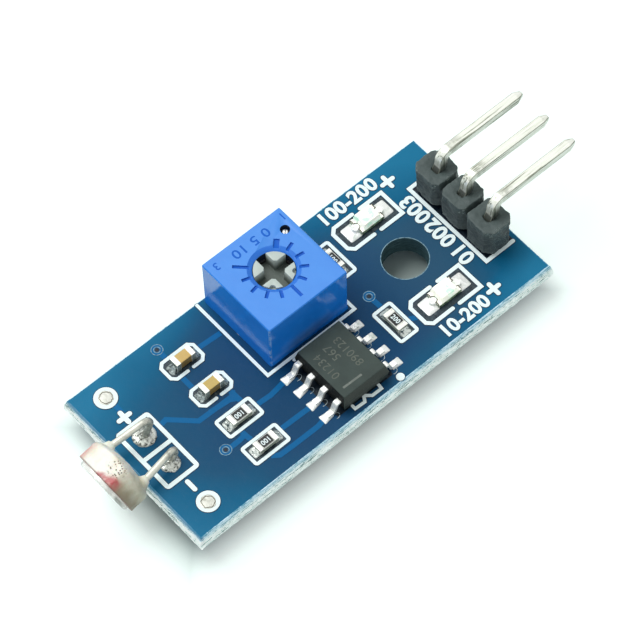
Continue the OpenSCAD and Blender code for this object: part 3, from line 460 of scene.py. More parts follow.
# The board
MASK = mask_look("solder_mask")
TRACE = mask_look("solder_mask_over_copper", copper=True)
EDGE = edge_look()
HOLE = hole_look()
RIM = ringed_look("pale_rim", (136, 174, 186), (58, 100, 124))
INK = ink_look()
# the dark line painted beside the print
INK_EDGE = flux_look("ink_border", (6, 34, 60), (10, 44, 74), (16, 58, 92))
FLUX = flux_look("flux_shade", (28, 44, 54), (52, 68, 76), (100, 112, 114))
SHADE = flux_look("shaded_mask", (12, 24, 36), (20, 34, 46), (32, 48, 58))
GLINT = ringed_look("painted_lead_glint", (208, 222, 224), (70, 104, 124))

# Solder: light and dark colours, pits, metallic, scale, roughness, pits' scale, wrinkles and share of dark
SOLDER = solder_look("solder", (238, 240, 236), (182, 188, 184))
SOLDER_CHIP = solder_look("solder_chip", (222, 229, 223), (52, 70, 74), 0.6, 0.5, 4.2, 0.26, 4.0, 0.1, 0.34)
SOLDER_DIM = solder_look("solder_dim", (168, 180, 178), (30, 44, 50), 0.7, 0.55, 4.4, 0.22, 4.0, 0.12, 0.36)
SOLDER_LIGHT = solder_look("solder_light", (250, 252, 248), (206, 216, 206), 0.3, 0.15, 2.0, 0.3)
JOINT = solder_look("solder_joint", (214, 217, 209), (72, 75, 70), 1.0, 0.5, 4.4, 0.34, 4.2, 0.06, 0.36)
PAD_TIN = solder_look("pad_tin", (222, 222, 212), (190, 190, 178), 0.3, 0.15, 2.2, 0.4)

# Metal: light and dark colours, scale, roughness and metallic
WIRE = wire_look()
PIN = pin_look()
# the pins' rounded edges: a darker tin than their faces, painted shade
PIN_SHADED_EDGE = tin_look("pin_edges", (148, 152, 136), (84, 88, 76), 2.6, 0.4, 0.3, (0.3, 1, 1))
LEAD = tin_look("lead_plate", (250, 251, 246), (216, 220, 214), 2.0, 0.28, 0.4)
CAP = tin_look("cap_plate", (244, 244, 234), (206, 208, 194), 2.6, 0.36, 0.35)
# sides of the capacitors' terminals: a darker copy of the plate, painted shade
CAP_SHADED_SIDE = tin_look("cap_plate_sides", (128, 138, 132), (82, 94, 94), 2.6, 0.36, 0.4)
SPRING = tin_look("wiper_alloy", (206, 178, 108), (150, 120, 62), 3.0, 0.25)

# Mouldings and ceramics: colour, specks' colour, scale, roughness, specular, grain and share of specks
BLACK = header_look()
BLUE_TOP = blue_top_look()
BLUE_SIDE = blue_side_look()
# engraved marks: a darker blue as painted shade
BLUE_ENGRAVED_SHADE = moulded_look("engraved_blue_painted_shade", (18, 98, 204), (30, 112, 218), 20.0, 0.5, 0.2, 0.004, 0.3)
BLUE_RIM = moulded_look("rim_blue", (36, 118, 224), (50, 130, 232), 12.0, 0.45, 0.5, 0.004, 0.4)
# walls of the sight hole and the bore, and the slot in the sight hole: near black as painted shade
SIGHT = moulded_look("sight_hole_wall_painted_shade", (12, 24, 48), (22, 40, 72), 12.0, 0.5, 0.3, 0.004, 0.4)
# the rotor darkens down into its slots: painted shade
ROTOR = moulded_look("rotor_grey", (192, 204, 199), (212, 220, 216), 8.0, 0.42, 0.4, 0.006, 0.4,
                     deep=(5.1, 6.05, (92, 102, 96)))
SEAL = moulded_look("seal_rubber", (34, 35, 37), (60, 62, 64), 9.0, 0.55, 0.3, 0.004, 0.3)
# dark navy base under the case: painted shade
BASE_RESIN = moulded_look("base_resin_painted_shade", (34, 52, 104), (52, 74, 130), 5.0, 0.45, 0.4, 0.02, 0.5)
CHIP_BLACK = moulded_look("package_black", (45, 58, 54), (76, 93, 87), 24.0, 0.55, 0.36, 0.014, 0.35)
CHIP_SHADE = moulded_look("package_shaded_side", (14, 17, 16), (26, 30, 28), 18.0, 0.6, 0.2, 0.014, 0.3)
# sides of the package: a little darker than the top, painted shade
CHIP_SHADED_SIDE = moulded_look("package_sides", (42, 48, 44), (66, 74, 68), 20.0, 0.55, 0.3, 0.014, 0.35)
CHIP_FAINT = moulded_look("package_digits", (104, 110, 100), (74, 82, 76), 8.0, 0.6, 0.3, 0.004, 0.9)
MARK = moulded_look("package_mark", (134, 140, 134), (88, 96, 90), 7.0, 0.6, 0.3, 0.004, 0.9)
CERAMIC = moulded_look("white_ceramic", (236, 237, 230), (216, 218, 210), 12.0, 0.5, 0.4, 0.008, 0.4)
# sides of the resistors and their terminals: a darker copy of the ceramic, painted shade
CERAMIC_SHADED_SIDE = moulded_look("ceramic_sides", (160, 166, 150), (128, 136, 124), 9.0, 0.5, 0.4, 0.008, 0.5)
FILM = moulded_look("black_overglaze", (18, 21, 22), (40, 44, 44), 10.0, 0.3, 0.4, 0.004, 0.3)
TAN = moulded_look("tan_ceramic", (214, 178, 104), (226, 196, 124), 6.0, 0.42, 0.4, 0.008, 0.6)
TAN_GREEN = moulded_look("green_tan_ceramic", (206, 176, 98), (218, 192, 118), 6.0, 0.42, 0.4, 0.008, 0.6)
# sides of the capacitors: a darker copy of the tan, painted shade
TAN_SHADED_SIDE = moulded_look("tan_ceramic_sides", (150, 122, 64), (128, 100, 52), 6.0, 0.42, 0.4, 0.008, 0.6)
TRACK = moulded_look("sensor_track_red", (168, 78, 44), (196, 116, 74), 7.0, 0.5, 0.4, 0.008, 0.5)
LED_BASE = moulded_look("light_base", (244, 244, 230), (222, 222, 200), 14.0, 0.5, 0.4, 0.01, 0.6)

# Resins of the sensor and the lights
DISC = disc_look()
# the clear coat and the lights' lenses glow: painted light, the last number
COAT = clear_look("sensor_clear_coat", (250, 251, 247), (168, 170, 162), 0.3, 0.1, 1.1, 0.45, 0.12,
                  spots=(1.6, -1.95))
LENS = clear_look("light_epoxy", (252, 252, 238), (182, 240, 210), 0.06, 0.2, 1.3, 0.8, 0.38)
# sides of the lights' bases: a darker copy of the pale base, painted shade
LED_SHADED_SIDE = flux_look("light_base_sides", (58, 84, 62), (150, 176, 140), (226, 236, 214))
# ragged dark lines: painted shade round the lights' notched ends, and the test pads' dark edges
RAGGED_DARK_LINE = flux_look("ragged_dark_line", (58, 54, 40), (96, 90, 70), (176, 170, 140))


# Mesh helpers

def piece(name, bm, *looks, slot, body="module", sharp=40.0, replaces=None):
    """Makes an object from a mesh in plan millimetres, shades it by angle and rides it on its body."""
    bmesh.ops.recalc_face_normals(bm, faces=bm.faces)
    broad = 0.03 * sum(face.calc_area() for face in bm.faces)
    for face in bm.faces:
        face.smooth = face.calc_area() < broad
    for edge in bm.edges:
        if len(edge.link_faces) == 2 and edge.calc_face_angle(0.0) > radians(sharp):
            edge.smooth = False
    bm.transform(Matrix.Scale(MM, 4) @ Matrix.Translation(-ORIGIN))
    mesh = bpy.data.meshes.new(name)
    bm.to_mesh(mesh)
    bm.free()
    for look in looks:
        mesh.materials.append(look)
    obj = bpy.data.objects.new(name, mesh)
    bpy.context.scene.collection.objects.link(obj)
    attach(obj, body)
    if replaces:
        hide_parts(replaces)


def cad_mesh(node):
    """A CAD node's mesh in plan millimetres, with its flat faces whole."""
    bm = bmesh.new()
    bm.from_mesh(CAD[node].data)
    bm.transform(Matrix.Translation(ORIGIN) @ Matrix.Scale(1 / MM, 4))
    bmesh.ops.remove_doubles(bm, verts=bm.verts, dist=0.002)
    bmesh.ops.dissolve_limit(bm, angle_limit=radians(0.6), verts=bm.verts, edges=bm.edges)
    return bm


def dressed(node, *looks, slot, width=0.04, segments=2, body="module", angle=35.0, which=None, edges=None,
            shift=None, cuts=()):
    """A CAD node's own shape with rounded edges and a detailed finish, in its place.

    which(face) picks a face's look by number, and edges is the number of the rounded edges' look.
    shift(place) moves the vertices, with level cuts at some heights first.
    """
    bm = cad_mesh(node)
    for z in cuts:
        whole = bm.verts[:] + bm.edges[:] + bm.faces[:]
        bmesh.ops.bisect_plane(bm, geom=whole, plane_co=(0, 0, z), plane_no=(0, 0, 1))
    for face in bm.faces:
        face.material_index = which(face) if which else 0
    sharp = [e for e in bm.edges if len(e.link_faces) == 2 and e.calc_face_angle(0.0) > radians(angle)]
    made = bmesh.ops.bevel(bm, geom=sharp, offset=width, offset_type="OFFSET", segments=segments, profile=0.5,
                           affect="EDGES", clamp_overlap=True)
    if edges is not None:
        for face in made["faces"]:
            face.material_index = edges
    if shift:
        for v in bm.verts:
            v.co += shift(v.co)
    piece(node + "_finished", bm, *looks, body=body, slot=slot, replaces=node)


def mesh_of(holder):
    """An object's mesh after its modifiers, or a text's mesh."""
    bpy.context.scene.collection.objects.link(holder)
    mesh = bpy.data.meshes.new_from_object(holder.evaluated_get(bpy.context.evaluated_depsgraph_get()))
    bpy.data.objects.remove(holder)
    return mesh


def worn(node, look, voxel, rounds, lumps, shift):
    """A CAD node's own shape in a fine mesh, softened and shifted, with lumps of (depth, scale, seed)."""
    bm = cad_mesh(node)
    mesh = bpy.data.meshes.new("worn")
    bmesh.ops.triangulate(bm, faces=bm.faces)
    bm.to_mesh(mesh)
    bm.free()
    holder = bpy.data.objects.new("worn", mesh)
    remesh = holder.modifiers.new("remesh", "REMESH")
    remesh.mode = "VOXEL"
    remesh.voxel_size = voxel
    smooth = holder.modifiers.new("smooth", "SMOOTH")
    smooth.factor = 0.5
    smooth.iterations = rounds
    bm = bmesh.new()
    bm.from_mesh(mesh_of(holder))
    for v in bm.verts:
        v.normal_update()
    for v in bm.verts:
        v.co += v.normal * sum(depth * wrinkle(v.co, scale, seed) for depth, scale, seed in lumps)
        v.co += shift(v.co)
    piece(node + "_finished", bm, look, slot=node, sharp=75, replaces=node)


def upward(face):
    return 0 if face.normal.z > 0.6 else 1


def finish_node(node, look):
    """A carried-over CAD node with a detailed finish."""
    data = CAD[node].data
    data.materials.clear()
    data.materials.append(look)


def shares(count):
    """Even steps up to 1."""
    return [i / count for i in range(1, count + 1)]


def turns(count, shift=0.0):
    """The angles of even steps round a circle."""
    return [2 * pi * (i + shift) / count for i in range(count)]


def soft_step(value, low, high):
    t = min(1.0, max(0.0, (value - low) / (high - low)))
    return t * t * (3 - 2 * t)


def wrinkle(p, scale, seed=0.0):
    return noise.noise(Vector((p[0] * scale + seed, p[1] * scale - seed, p[2] * scale + 2 * seed)))


def at(x, y, z=0.0, turn=0.0):
    return Matrix.Translation((x, y, z)) @ Matrix.Rotation(radians(turn), 4, "Z")


def below(x, y):
    """A place on the board's underside, upside down."""
    return at(x, y, -BOARD_T) @ Matrix.Diagonal((1, 1, -1, 1))


def skin(bm, rows, slot=0, ring=True, loop=False):
    """Faces over rows of vertices: rings or strips, that close in a loop or end in two caps."""
    count = len(rows[0])
    following = rows[1:] + (rows[:1] if loop else [])
    for a, b in zip(rows, following):
        for i in range(count if ring else count - 1):
            j = (i + 1) % count
            bm.faces.new((a[i], a[j], b[j], b[i])).material_index = slot
    if not loop:
        for row in (rows[0][::-1], rows[-1]):
            bm.faces.new(row).material_index = slot


def ribbon(bm, points, width, z0=0.0, z1=0.03, closed=False, slot=0):
    """Flat strip with mitred corners along points on the plan."""
    points = [Vector(p).to_2d() for p in points]
    count = len(points)
    rows = []
    for i, p in enumerate(points):
        before = (p - points[i - 1]).normalized() if closed or i > 0 else None
        after = (points[(i + 1) % count] - p).normalized() if closed or i < count - 1 else before
        before = after if before is None else before
        side = Vector((-(before.y + after.y), before.x + after.x)).normalized()
        side *= width / 2 / max(0.35, side.dot(Vector((-after.y, after.x))))
        a, b = p + side, p - side
        rows.append([bm.verts.new(place) for place in ((*a, z0), (*a, z1), (*b, z1), (*b, z0))])
    skin(bm, rows, slot, loop=closed)


def loop_points(x0, y0, x1, y1, radius=0.0, steps=5):
    """Rectangle, with rounded corners if there is a radius."""
    if radius <= 0:
        return [(x0, y0), (x1, y0), (x1, y1), (x0, y1)]
    out = []
    for cx, cy, start in ((x1 - radius, y0 + radius, -90), (x1 - radius, y1 - radius, 0),
                          (x0 + radius, y1 - radius, 90), (x0 + radius, y0 + radius, 180)):
        for i in range(steps + 1):
            a = radians(start + 90 * i / steps)
            out.append((cx + radius * cos(a), cy + radius * sin(a)))
    return out


def ring_points(x, y, r, steps=28):
    return [(x + r * cos(a), y + r * sin(a)) for a in turns(steps)]


def patch(bm, points, z0, z1, slot=0):
    """Flat sheet with an outline."""
    skin(bm, [[bm.verts.new((x, y, z)) for x, y in points] for z in (z0, z1)], slot)


def words(bm, body, x, y, z, size, turn, thick=0.02, slot=0, bold=0.0, squash=1.0):
    """Plain digits, centred on a place and turned on the plan."""
    curve = bpy.data.curves.new("digits", "FONT")
    curve.body = body
    curve.size = size
    curve.extrude = thick / 2
    curve.offset = bold
    curve.resolution_u = 4
    curve.align_x = "CENTER"
    curve.align_y = "CENTER"
    curve.space_character = 1.05
    mesh = mesh_of(bpy.data.objects.new("digits", curve))
    old_verts, old_faces = len(bm.verts), len(bm.faces)
    bm.from_mesh(mesh)
    bm.verts.ensure_lookup_table()
    bm.faces.ensure_lookup_table()
    move = at(x, y, z, turn) @ Matrix.Diagonal((squash, 1, 1, 1))
    bmesh.ops.transform(bm, matrix=move, verts=bm.verts[old_verts:])
    for face in bm.faces[old_faces:]:
        face.material_index = slot
    bpy.data.curves.remove(curve)
    bpy.data.meshes.remove(mesh)


def heap(bm, place, half_l, half_w, height, square, flare=0.0, rings=9, steps=36, seed=0.0, rough=0.03):
    """A lump of solder on a rounded pad: rings that shrink inwards under a given height."""
    rows = []
    for k in range(rings + 1):
        s = 1 - (k / rings) ** 1.4
        row = []
        for a in turns(steps, 0.5):
            x = half_l * s * math.copysign(abs(cos(a)) ** (2 / square), cos(a))
            y = half_w * s * math.copysign(abs(sin(a)) ** (2 / square), sin(a)) * (1 + flare * x / half_l)
            z = height(x) * math.sqrt(1 - s ** 3)
            z += rough * wrinkle((x, y, z), 3.2, seed) * min(1.0, 3 * (1 - s))
            row.append(bm.verts.new(place @ Vector((x, y, max(z, 0.004) if k else 0.004))))
        rows.append(row)
    skin(bm, rows)


def turned(bm, place, outline, steps=36, seed=0.0, rough=0.0, scale=3.0):
    """A body of revolution from (radius, height) pairs, with a little unevenness."""
    rows = []
    for r, z in outline:
        row = []
        for a in turns(steps):
            x, y = r * cos(a), r * sin(a)
            k = 1 + rough * wrinkle((x, y, z), scale, seed) / max(r, 0.15)
            lift = rough * 0.5 * wrinkle((y, x, z), scale, seed + 4)
            row.append(bm.verts.new(place @ Vector((x * k, y * k, z + lift))))
        rows.append(row)
    skin(bm, rows)


def swept(bm, path, radius, steps, seed, rough, grip):
    """A round wire along a path, squeezed a little by grip(share of the path) where it was gripped."""
    rows = []
    side = Vector((0, 1, 0))
    last = len(path) - 1
    for i, p in enumerate(path):
        d = (path[min(i + 1, last)] - path[max(i - 1, 0)]).normalized()
        side = (side - d * side.dot(d)).normalized()
        up = d.cross(side)
        squeeze = grip(i / last)
        row = []
        for a in turns(steps):
            r = radius * (1 + rough * wrinkle(p + side * cos(a) + up * sin(a), 2.4, seed))
            if i in (0, last):
                r *= 0.8
            wide, high = r * (1 + squeeze) * cos(a), r * (1 - squeeze) * sin(a)
            row.append(bm.verts.new(p + side * wide + up * high))
        rows.append(row)
    skin(bm, rows)


# Board

def build_board():
    bm = cad_mesh("circuit_board")
    for face in bm.faces:
        mid = face.calc_center_median()
        inside = 0.05 < mid.x < BOARD_L - 0.05 and 0.05 < mid.y < BOARD_W - 0.05
        face.material_index = 0 if abs(face.normal.z) > 0.9 else 2 if inside else 1
    piece("board_finished", bm, MASK, EDGE, HOLE, slot="board", replaces="circuit_board")


def build_edge():
    """Snapped edge: a fine rough skirt over the two bevels and the web."""
    out, web, spacing = 0.2, 0.5, 0.16
    top = [(-0.03, 0.012), (0.02, 0.0), (0.09, -0.22), (out, -(BOARD_T - web) / 2)]
    middle = [(out + 0.01, -0.72), (out + 0.015, -BOARD_T / 2), (out + 0.01, -0.9)]
    section = top + middle + [(off, -BOARD_T - z) for off, z in reversed(top)]
    fine = []
    for (a, b), (c, d) in zip(section, section[1:]):
        fine += [(a, b), ((a + c) / 2, (b + d) / 2)]
    fine.append(section[-1])
    sides = ((0, 0, 1, 0, BOARD_L), (BOARD_L, 0, 0, 1, BOARD_W), (BOARD_L, BOARD_W, -1, 0, BOARD_L),
             (0, BOARD_W, 0, -1, BOARD_W))
    bm = bmesh.new()
    rows = []
    for start_x, start_y, dx, dy, length in sides:
        count = int(length / spacing)
        for i in range(count):
            row = []
            for off, z in fine:
                # the two sides of a corner meet on its diagonal
                run = -off + i / count * (length + 2 * off)
                x = start_x + dx * run + dy * off
                y = start_y + dy * run - dx * off
                depth = 0.05 * wrinkle((x, y, z * 1.6), 1.6) + 0.035 * wrinkle((x, y, z * 2), 6.0, 3.0)
                depth *= min(1.0, max(0.0, off + 0.03) * 9)
                row.append(bm.verts.new((x + dy * depth, y - dx * depth, z)))
            rows.append(row)
    skin(bm, rows, ring=False, loop=True)
    piece("board_snapped_edge", bm, EDGE, slot="board", sharp=70.0)


# tracks as the photo shows them through the mask, and the usual ones on the underside
TRACES = (
    ((3.2, 7.96), (3.87, 8.07), (5.40, 6.56), (7.03, 6.52), (8.2, 6.51), (8.5, 6.85)),
    ((8.37, 6.9), (8.4, 5.8)), ((6.36, 6.57), (7.9, 6.42), (8.45, 6.1)),
    ((6.69, 9.8), (6.69, 8.6)), ((8.9, 10.76), (10.74, 10.64)), ((6.84, 12.4), (6.81, 11.5)),
    ((5.31, 3.7), (6.4, 3.71), (6.96, 3.79), (6.93, 4.2)), ((6.96, 3.7), (7.05, 3.1)),
    ((9.0, 4.96), (10.15, 4.89), (11.5, 5.08)), ((8.9, 2.56), (11.6, 2.5)),
    ((7.2, 1.5), (7.66, 1.15), (8.87, 1.11), (10.9, 1.1), (11.4, 1.2)),
    ((2.1, 11.3), (2.08, 10.4)), ((20.6, 3.16), (21.2, 2.86)), ((19.85, 6.1), (19.9, 5.0)))
UNDER_TRACES = (
    ((LEADS_X, LEADS_Y + PITCH / 2), (4.0, 9.5), (8.5, 9.5), (TRIMMER_X - PITCH, TRIMMER_Y)),
    ((LEADS_X, LEADS_Y - PITCH / 2), (5.0, 3.2), (9.0, 3.2)),
    ((TRIMMER_X + PITCH, TRIMMER_Y), (20.0, 11.3), (26.0, 11.3), (HEADER_X, HEADER_YS[2])),
    ((HEADER_X, HEADER_YS[1]), (26.2, HEADER_YS[1])),
    ((HEADER_X, HEADER_YS[0]), (26.0, 2.0), (15.0, 2.0), (12.0, 4.4)),
    ((TRIMMER_X, TRIMMER_Y + PITCH), (9.0, 12.34), (6.8, 11.0), (3.4, 11.6)))
VIAS = ((6.8, 12.45), (5.31, 3.78), (19.85, 6.2))
# the rings of each via: radius, width, height and look
VIA_RINGS = ((0.2, 0.46, 0.018, 2), (0.40, 0.045, 0.02, 0), (0.22, 0.05, 0.022, 0), (0.08, 0.15, 0.021, 1))


def build_tracks():
    """Raised lines of mask over the copper, each a hair above the last."""
    bm = bmesh.new()
    for i, points in enumerate(TRACES):
        ribbon(bm, points, 0.38, 0.0, 0.009 + 0.0005 * i)
    for i, points in enumerate(UNDER_TRACES):
        ribbon(bm, points, 0.5, -BOARD_T - 0.02 - 0.0004 * i, -BOARD_T)
    piece("board_tracks", bm, TRACE, slot="board")


def build_vias():
    """Ringed vias on both faces, and the pale lip of the mounting hole, bare laminate with a painted
    highlight.
    """
    bm = bmesh.new()
    for x, y in VIAS:
        for base, sign in ((0.0, 1), (-BOARD_T, -1)):
            for r, width, high, look in VIA_RINGS:
                low, top = sorted((base, base + sign * high))
                ribbon(bm, ring_points(x, y, r), width, low, top, closed=True, slot=look)
    # the pale lip of the mounting hole: bare laminate, and a painted highlight on its edge
    ribbon(bm, ring_points(HOLE_X, HOLE_Y, HOLE_R + 0.03, 64), 0.05, 0.0, 0.006, closed=True)
    piece("board_vias", bm, RIM, SHADE, TRACE, slot="board")


class Print:
    """Screen-printed strokes and plain digits, each with a painted dark line beside it."""

    def __init__(self):
        self.bm = bmesh.new()
        self.count = itertools.count()

    def sheet(self, shape, width):
        # each stroke lies a hair above the last one, and all the white above all the dark
        lift = 0.0004 * next(self.count)
        shape(width + 0.09, 0.0185 + 0.5 * lift, 1)
        shape(width, 0.036 + lift, 0)

    def line(self, *points, w=0.29):
        """A stroke with round ends."""
        ends = []
        for end, following in ((points[0], points[1]), (points[-1], points[-2])):
            end = Vector(end)
            ends.append(end + (Vector(following) - end).normalized() * w * 0.4)
        path = [tuple(ends[0]), *points[1:-1], tuple(ends[1])]

        def shape(width, top, slot):
            ribbon(self.bm, path, width, 0, top, slot=slot)
            for end in ends:
                patch(self.bm, ring_points(end.x, end.y, width / 2, 16), 0, top - 0.0002, slot)
        self.sheet(shape, w)

    def loop(self, points, w):
        self.sheet(lambda width, top, slot: ribbon(self.bm, points, width, 0, top, closed=True, slot=slot), w)

    def box(self, x0, y0, x1, y1, w=0.24):
        self.loop(loop_points(x0 + w / 2, y0 + w / 2, x1 - w / 2, y1 - w / 2, 0.13, 3), w)

    def text(self, body, x, y, size, turn):
        words(self.bm, body, x, y, 0.0125, size, turn, 0.025, 1, bold=0.09)
        words(self.bm, body, x, y, 0.023, size, turn, 0.046, bold=0.055)


def build_print():
    ink = Print()
    # sensor: a box with a bar across, its signs and the rings round the test pads
    ink.box(0.62, 4.0, 3.38, 9.36, 0.30)
    ink.line((0.7, 6.68), (3.3, 6.68), w=0.30)
    ink.line((1.4, 9.98), (2.54, 9.98), w=0.34)
    ink.line((1.97, 9.41), (1.97, 10.55), w=0.34)
    ink.line((1.97, 2.78), (1.97, 3.78), w=0.32)
    ink.loop(ring_points(1.98, 11.9, 0.665, 40), 0.29)
    ink.loop(ring_points(2.03, 1.67, 0.645, 40), 0.28)
    # capacitors: open frames with cut corners
    half, cut = 0.145, 0.3
    for x0, y0, x1, y1, gap0, gap1 in (
            (5.93, 9.72, 8.97, 11.6, 7.38, 7.68), (6.03, 6.93, 9.03, 8.72, 7.44, 7.68)):
        x0, y0, x1, y1 = x0 + half, y0 + half, x1 - half, y1 - half
        ink.line((gap1, y0), (x1 - cut, y0), (x1, y0 + cut), (x1, y1 - cut), (x1 - cut, y1), (x0 + cut, y1),
                 (x0, y1 - cut), (x0, y0 + cut), (x0 + cut, y0), (gap0, y0), w=0.24)
    # resistors
    ink.box(6.0, 4.13, 9.02, 5.84)
    ink.box(5.97, 1.5, 9.0, 3.22)
    ink.box(18.97, 2.05, 20.65, 5.05)
    ink.box(18.96, 8.23, 20.7, 11.33)
    # trimmer and comparator
    ink.line((10.94, 13.38), (10.94, 6.12), (18.5, 6.12), (18.5, 13.38), w=0.23)
    ink.loop(ring_points(17.3, 0.27, 0.15, 40), 0.28)
    ink.line((13.53, 0.82), (13.53, 0.46), (14.33, 0.42), (14.55, 0.76), (14.70, 0.73), (15.01, 0.45),
             (15.80, 0.44), (15.85, 0.87), w=0.22)
    ink.line((17.1, 5.55), (17.1, 5.86), (12.9, 5.86), w=0.24)
    # lights: two halves with a gap on each long side, and a plus sign
    x0, x1, half, cut = 21.12, 26.0, 0.14, 0.5
    for y0, y1, gap_near, gap_far in ((9.42, 11.87, 23.64, 23.6), (1.68, 4.18, 23.64, 23.64)):
        ink.line((gap_near - 0.2, y0 + half), (x0 + cut, y0 + half), (x0 + half, y0 + cut),
                 (x0 + half, y1 - cut), (x0 + cut, y1 - half), (gap_far - 0.24, y1 - half), w=0.28)
        ink.line((gap_near + 0.2, y0 + half), (x1 - half, y0 + half), (x1 - half, y1 - half),
                 (gap_far + 0.24, y1 - half), w=0.28)
    for x, y in ((26.76, 12.08), (26.35, 1.13)):
        ink.line((x - 0.58, y), (x + 0.58, y), w=0.32)
        ink.line((x, y - 0.58), (x, y + 0.58), w=0.32)
    # header
    ink.line((29.95, 3.005), (27.45, 3.005), (27.45, 10.675), (29.95, 10.675), w=0.28)
    # generic labels
    ink.text("100-200", 23.65, 12.64, 1.42, 0)
    ink.text("10-200", 23.5, 0.84, 1.38, 0)
    for body, y in (("003", 9.22), ("002", 6.72), ("01", 4.5)):
        ink.text(body, 26.7, y, 1.52, 90)
    piece("board_print", ink.bm, INK, INK_EDGE, slot="board")


def build_windows():
    """Dark windows round the pads, flux and painted shade; painted shade on the mask under the larger parts,
    and painted glints of the leads.
    """
    bm = bmesh.new()
    for x0, y0, x1, y1, r in ((6.2, 9.98, 8.72, 11.35, 0.2), (6.3, 7.2, 8.78, 8.46, 0.2),
                              (6.26, 4.38, 8.76, 5.58, 0.0), (6.23, 1.76, 8.74, 2.96, 0.0),
                              (19.22, 2.3, 20.4, 4.8, 0.0), (19.22, 8.48, 20.44, 11.08, 0.0),
                              (21.42, 9.72, 25.74, 11.56, 0.3), (21.42, 1.98, 25.74, 3.88, 0.3)):
        patch(bm, loop_points(x0, y0, x1, y1, r), 0.0, 0.0175)
    piece("board_pad_windows", bm, FLUX, slot="board")
    bm = bmesh.new()
    # painted shade on the mask under the header and the comparator
    patch(bm, loop_points(27.58, 3.14, 29.95, 10.54), 0.0, 0.015)
    patch(bm, loop_points(12.28, 0.74, 17.1, 5.54, 0.15), 0.0, 0.018)
    # painted glints: reflections of the comparator's leads on the mask
    for side in (-1, 1):
        for k in range(4):
            x, y = CHIP_X + side * 2.5, CHIP_Y + (k - 1.5) * LEAD_PITCH - 0.34
            arc = [radians(a) for a in range(-120, 61, 15)]
            points = [(x + (0.28 + 0.05 * (k % 2)) * cos(a), y + 0.2 * sin(a)) for a in arc]
            ribbon(bm, points, 0.035, 0.0, 0.022, slot=1)
    piece("board_shaded_mask", bm, SHADE, GLINT, slot="board")


# Solder joints

def joint_piece(name, bm, look, node):
    piece(name + "_finished", bm, look, slot="solder", sharp=80, replaces=node)


def chip_joints(name, places, climb, node, seed, look):
    """Solder that climbs both ends of each chip part."""
    bm = bmesh.new()
    for n, (x, y, turn) in enumerate(places):
        for side in (0, 180):
            share = 1.0 if side == 0 else 0.85
            here = at(x, y, 0, turn + side) @ Matrix.Translation((PART_L / 2 + 0.06, 0, 0))

            def height(px, share=share):
                t = (px + 0.06) / PART_JOINT
                return 0.1 + share * climb * (max(0.0, 1 - t) ** 1.8 if t > 0 else max(0.0, 1 + t * 3.0))
            heap(bm, here, PART_JOINT - 0.06, PART_W * 0.52, height, 4.5, 0.04,
                 seed=seed + n * 3 + side * 0.01, rough=0.06)
    joint_piece(name, bm, look, node)


def comparator_joints():
    def height(px):
        return 0.09 + 0.12 * max(0.0, 1 - abs((px + 0.44) / 0.88 - 0.25) * 1.6)
    bm = bmesh.new()
    for n in range(8):
        front = n < 4
        row = 3 - n if front else n - 4
        here = at(CHIP_X, CHIP_Y + (row - 1.5) * LEAD_PITCH, 0, 180 if front else 0)
        heap(bm, here @ Matrix.Translation((2.98, 0, 0)), 0.44, 0.3, height, 9.0, 0.22 if front else 0.05,
             seed=40.0 + n * 2.3, rough=0.015)
    joint_piece("comparator_joints", bm, SOLDER_LIGHT, "comparator_solder")


def light_joints():
    def height(px):
        return 0.07 + 0.10 * max(0.0, 1 - (px + 0.38) / 0.9) ** 1.4
    bm = bmesh.new()
    for n, (x, y) in enumerate(LIGHTS):
        for side in (0, 180):
            here = at(x, y, 0, side) @ Matrix.Translation((1.38, 0, 0))
            heap(bm, here, 0.53, 0.63, height, 9.0, rings=12, steps=56, seed=60.0 + n * 5 + side * 0.02)
            patch(bm, ring_points(x + (1.02 if side == 0 else -1.02), y, 0.3, 20), 0.02, 0.386)
    joint_piece("light_joints", bm, SOLDER_LIGHT, "led_solder")


def pad_joints():
    """Test pads, on both faces: a low dome, above with a ragged dark edge."""
    above = [(0.56, 0.0), (0.55, 0.035), (0.5, 0.045), (0.34, 0.058), (0.16, 0.064), (0.04, 0.066)]
    under = [(0.63, 0.0), (0.6, 0.03), (0.5, 0.075), (0.34, 0.10), (0.16, 0.115), (0.04, 0.12)]
    bm = bmesh.new()
    for x, y in PADS:
        turned(bm, at(x, y), above, 44, seed=x + y, rough=0.02, scale=5.0)
        ragged = []
        for a in turns(48):
            r = 0.43 + 0.075 * wrinkle((3 * cos(a), 3 * sin(a), y), 1.0)
            ragged.append((x + r * cos(a), y + r * sin(a)))
        ribbon(bm, ragged, 0.035, 0.02, 0.074, closed=True, slot=1)
        turned(bm, below(x, y), under, seed=y, rough=0.03)
    piece("test_pads_finished", bm, PAD_TIN, RAGGED_DARK_LINE, slot="solder", sharp=80, replaces="test_pads")


def through_cone(bm, x, y, hole_r, wire_r, climb, seed):
    """Solder below the board: a hollow cone up the tail."""
    pad = hole_r + 0.36
    outline = [(pad, -0.002), (pad, 0.03)]
    for t in shares(8):
        a = pi / 2 * t
        outline.append((wire_r + (pad - wire_r) * (1 - sin(a)), 0.03 + climb * (1 - cos(a))))
    turned(bm, below(x, y), outline, 40, seed=seed, rough=0.035)


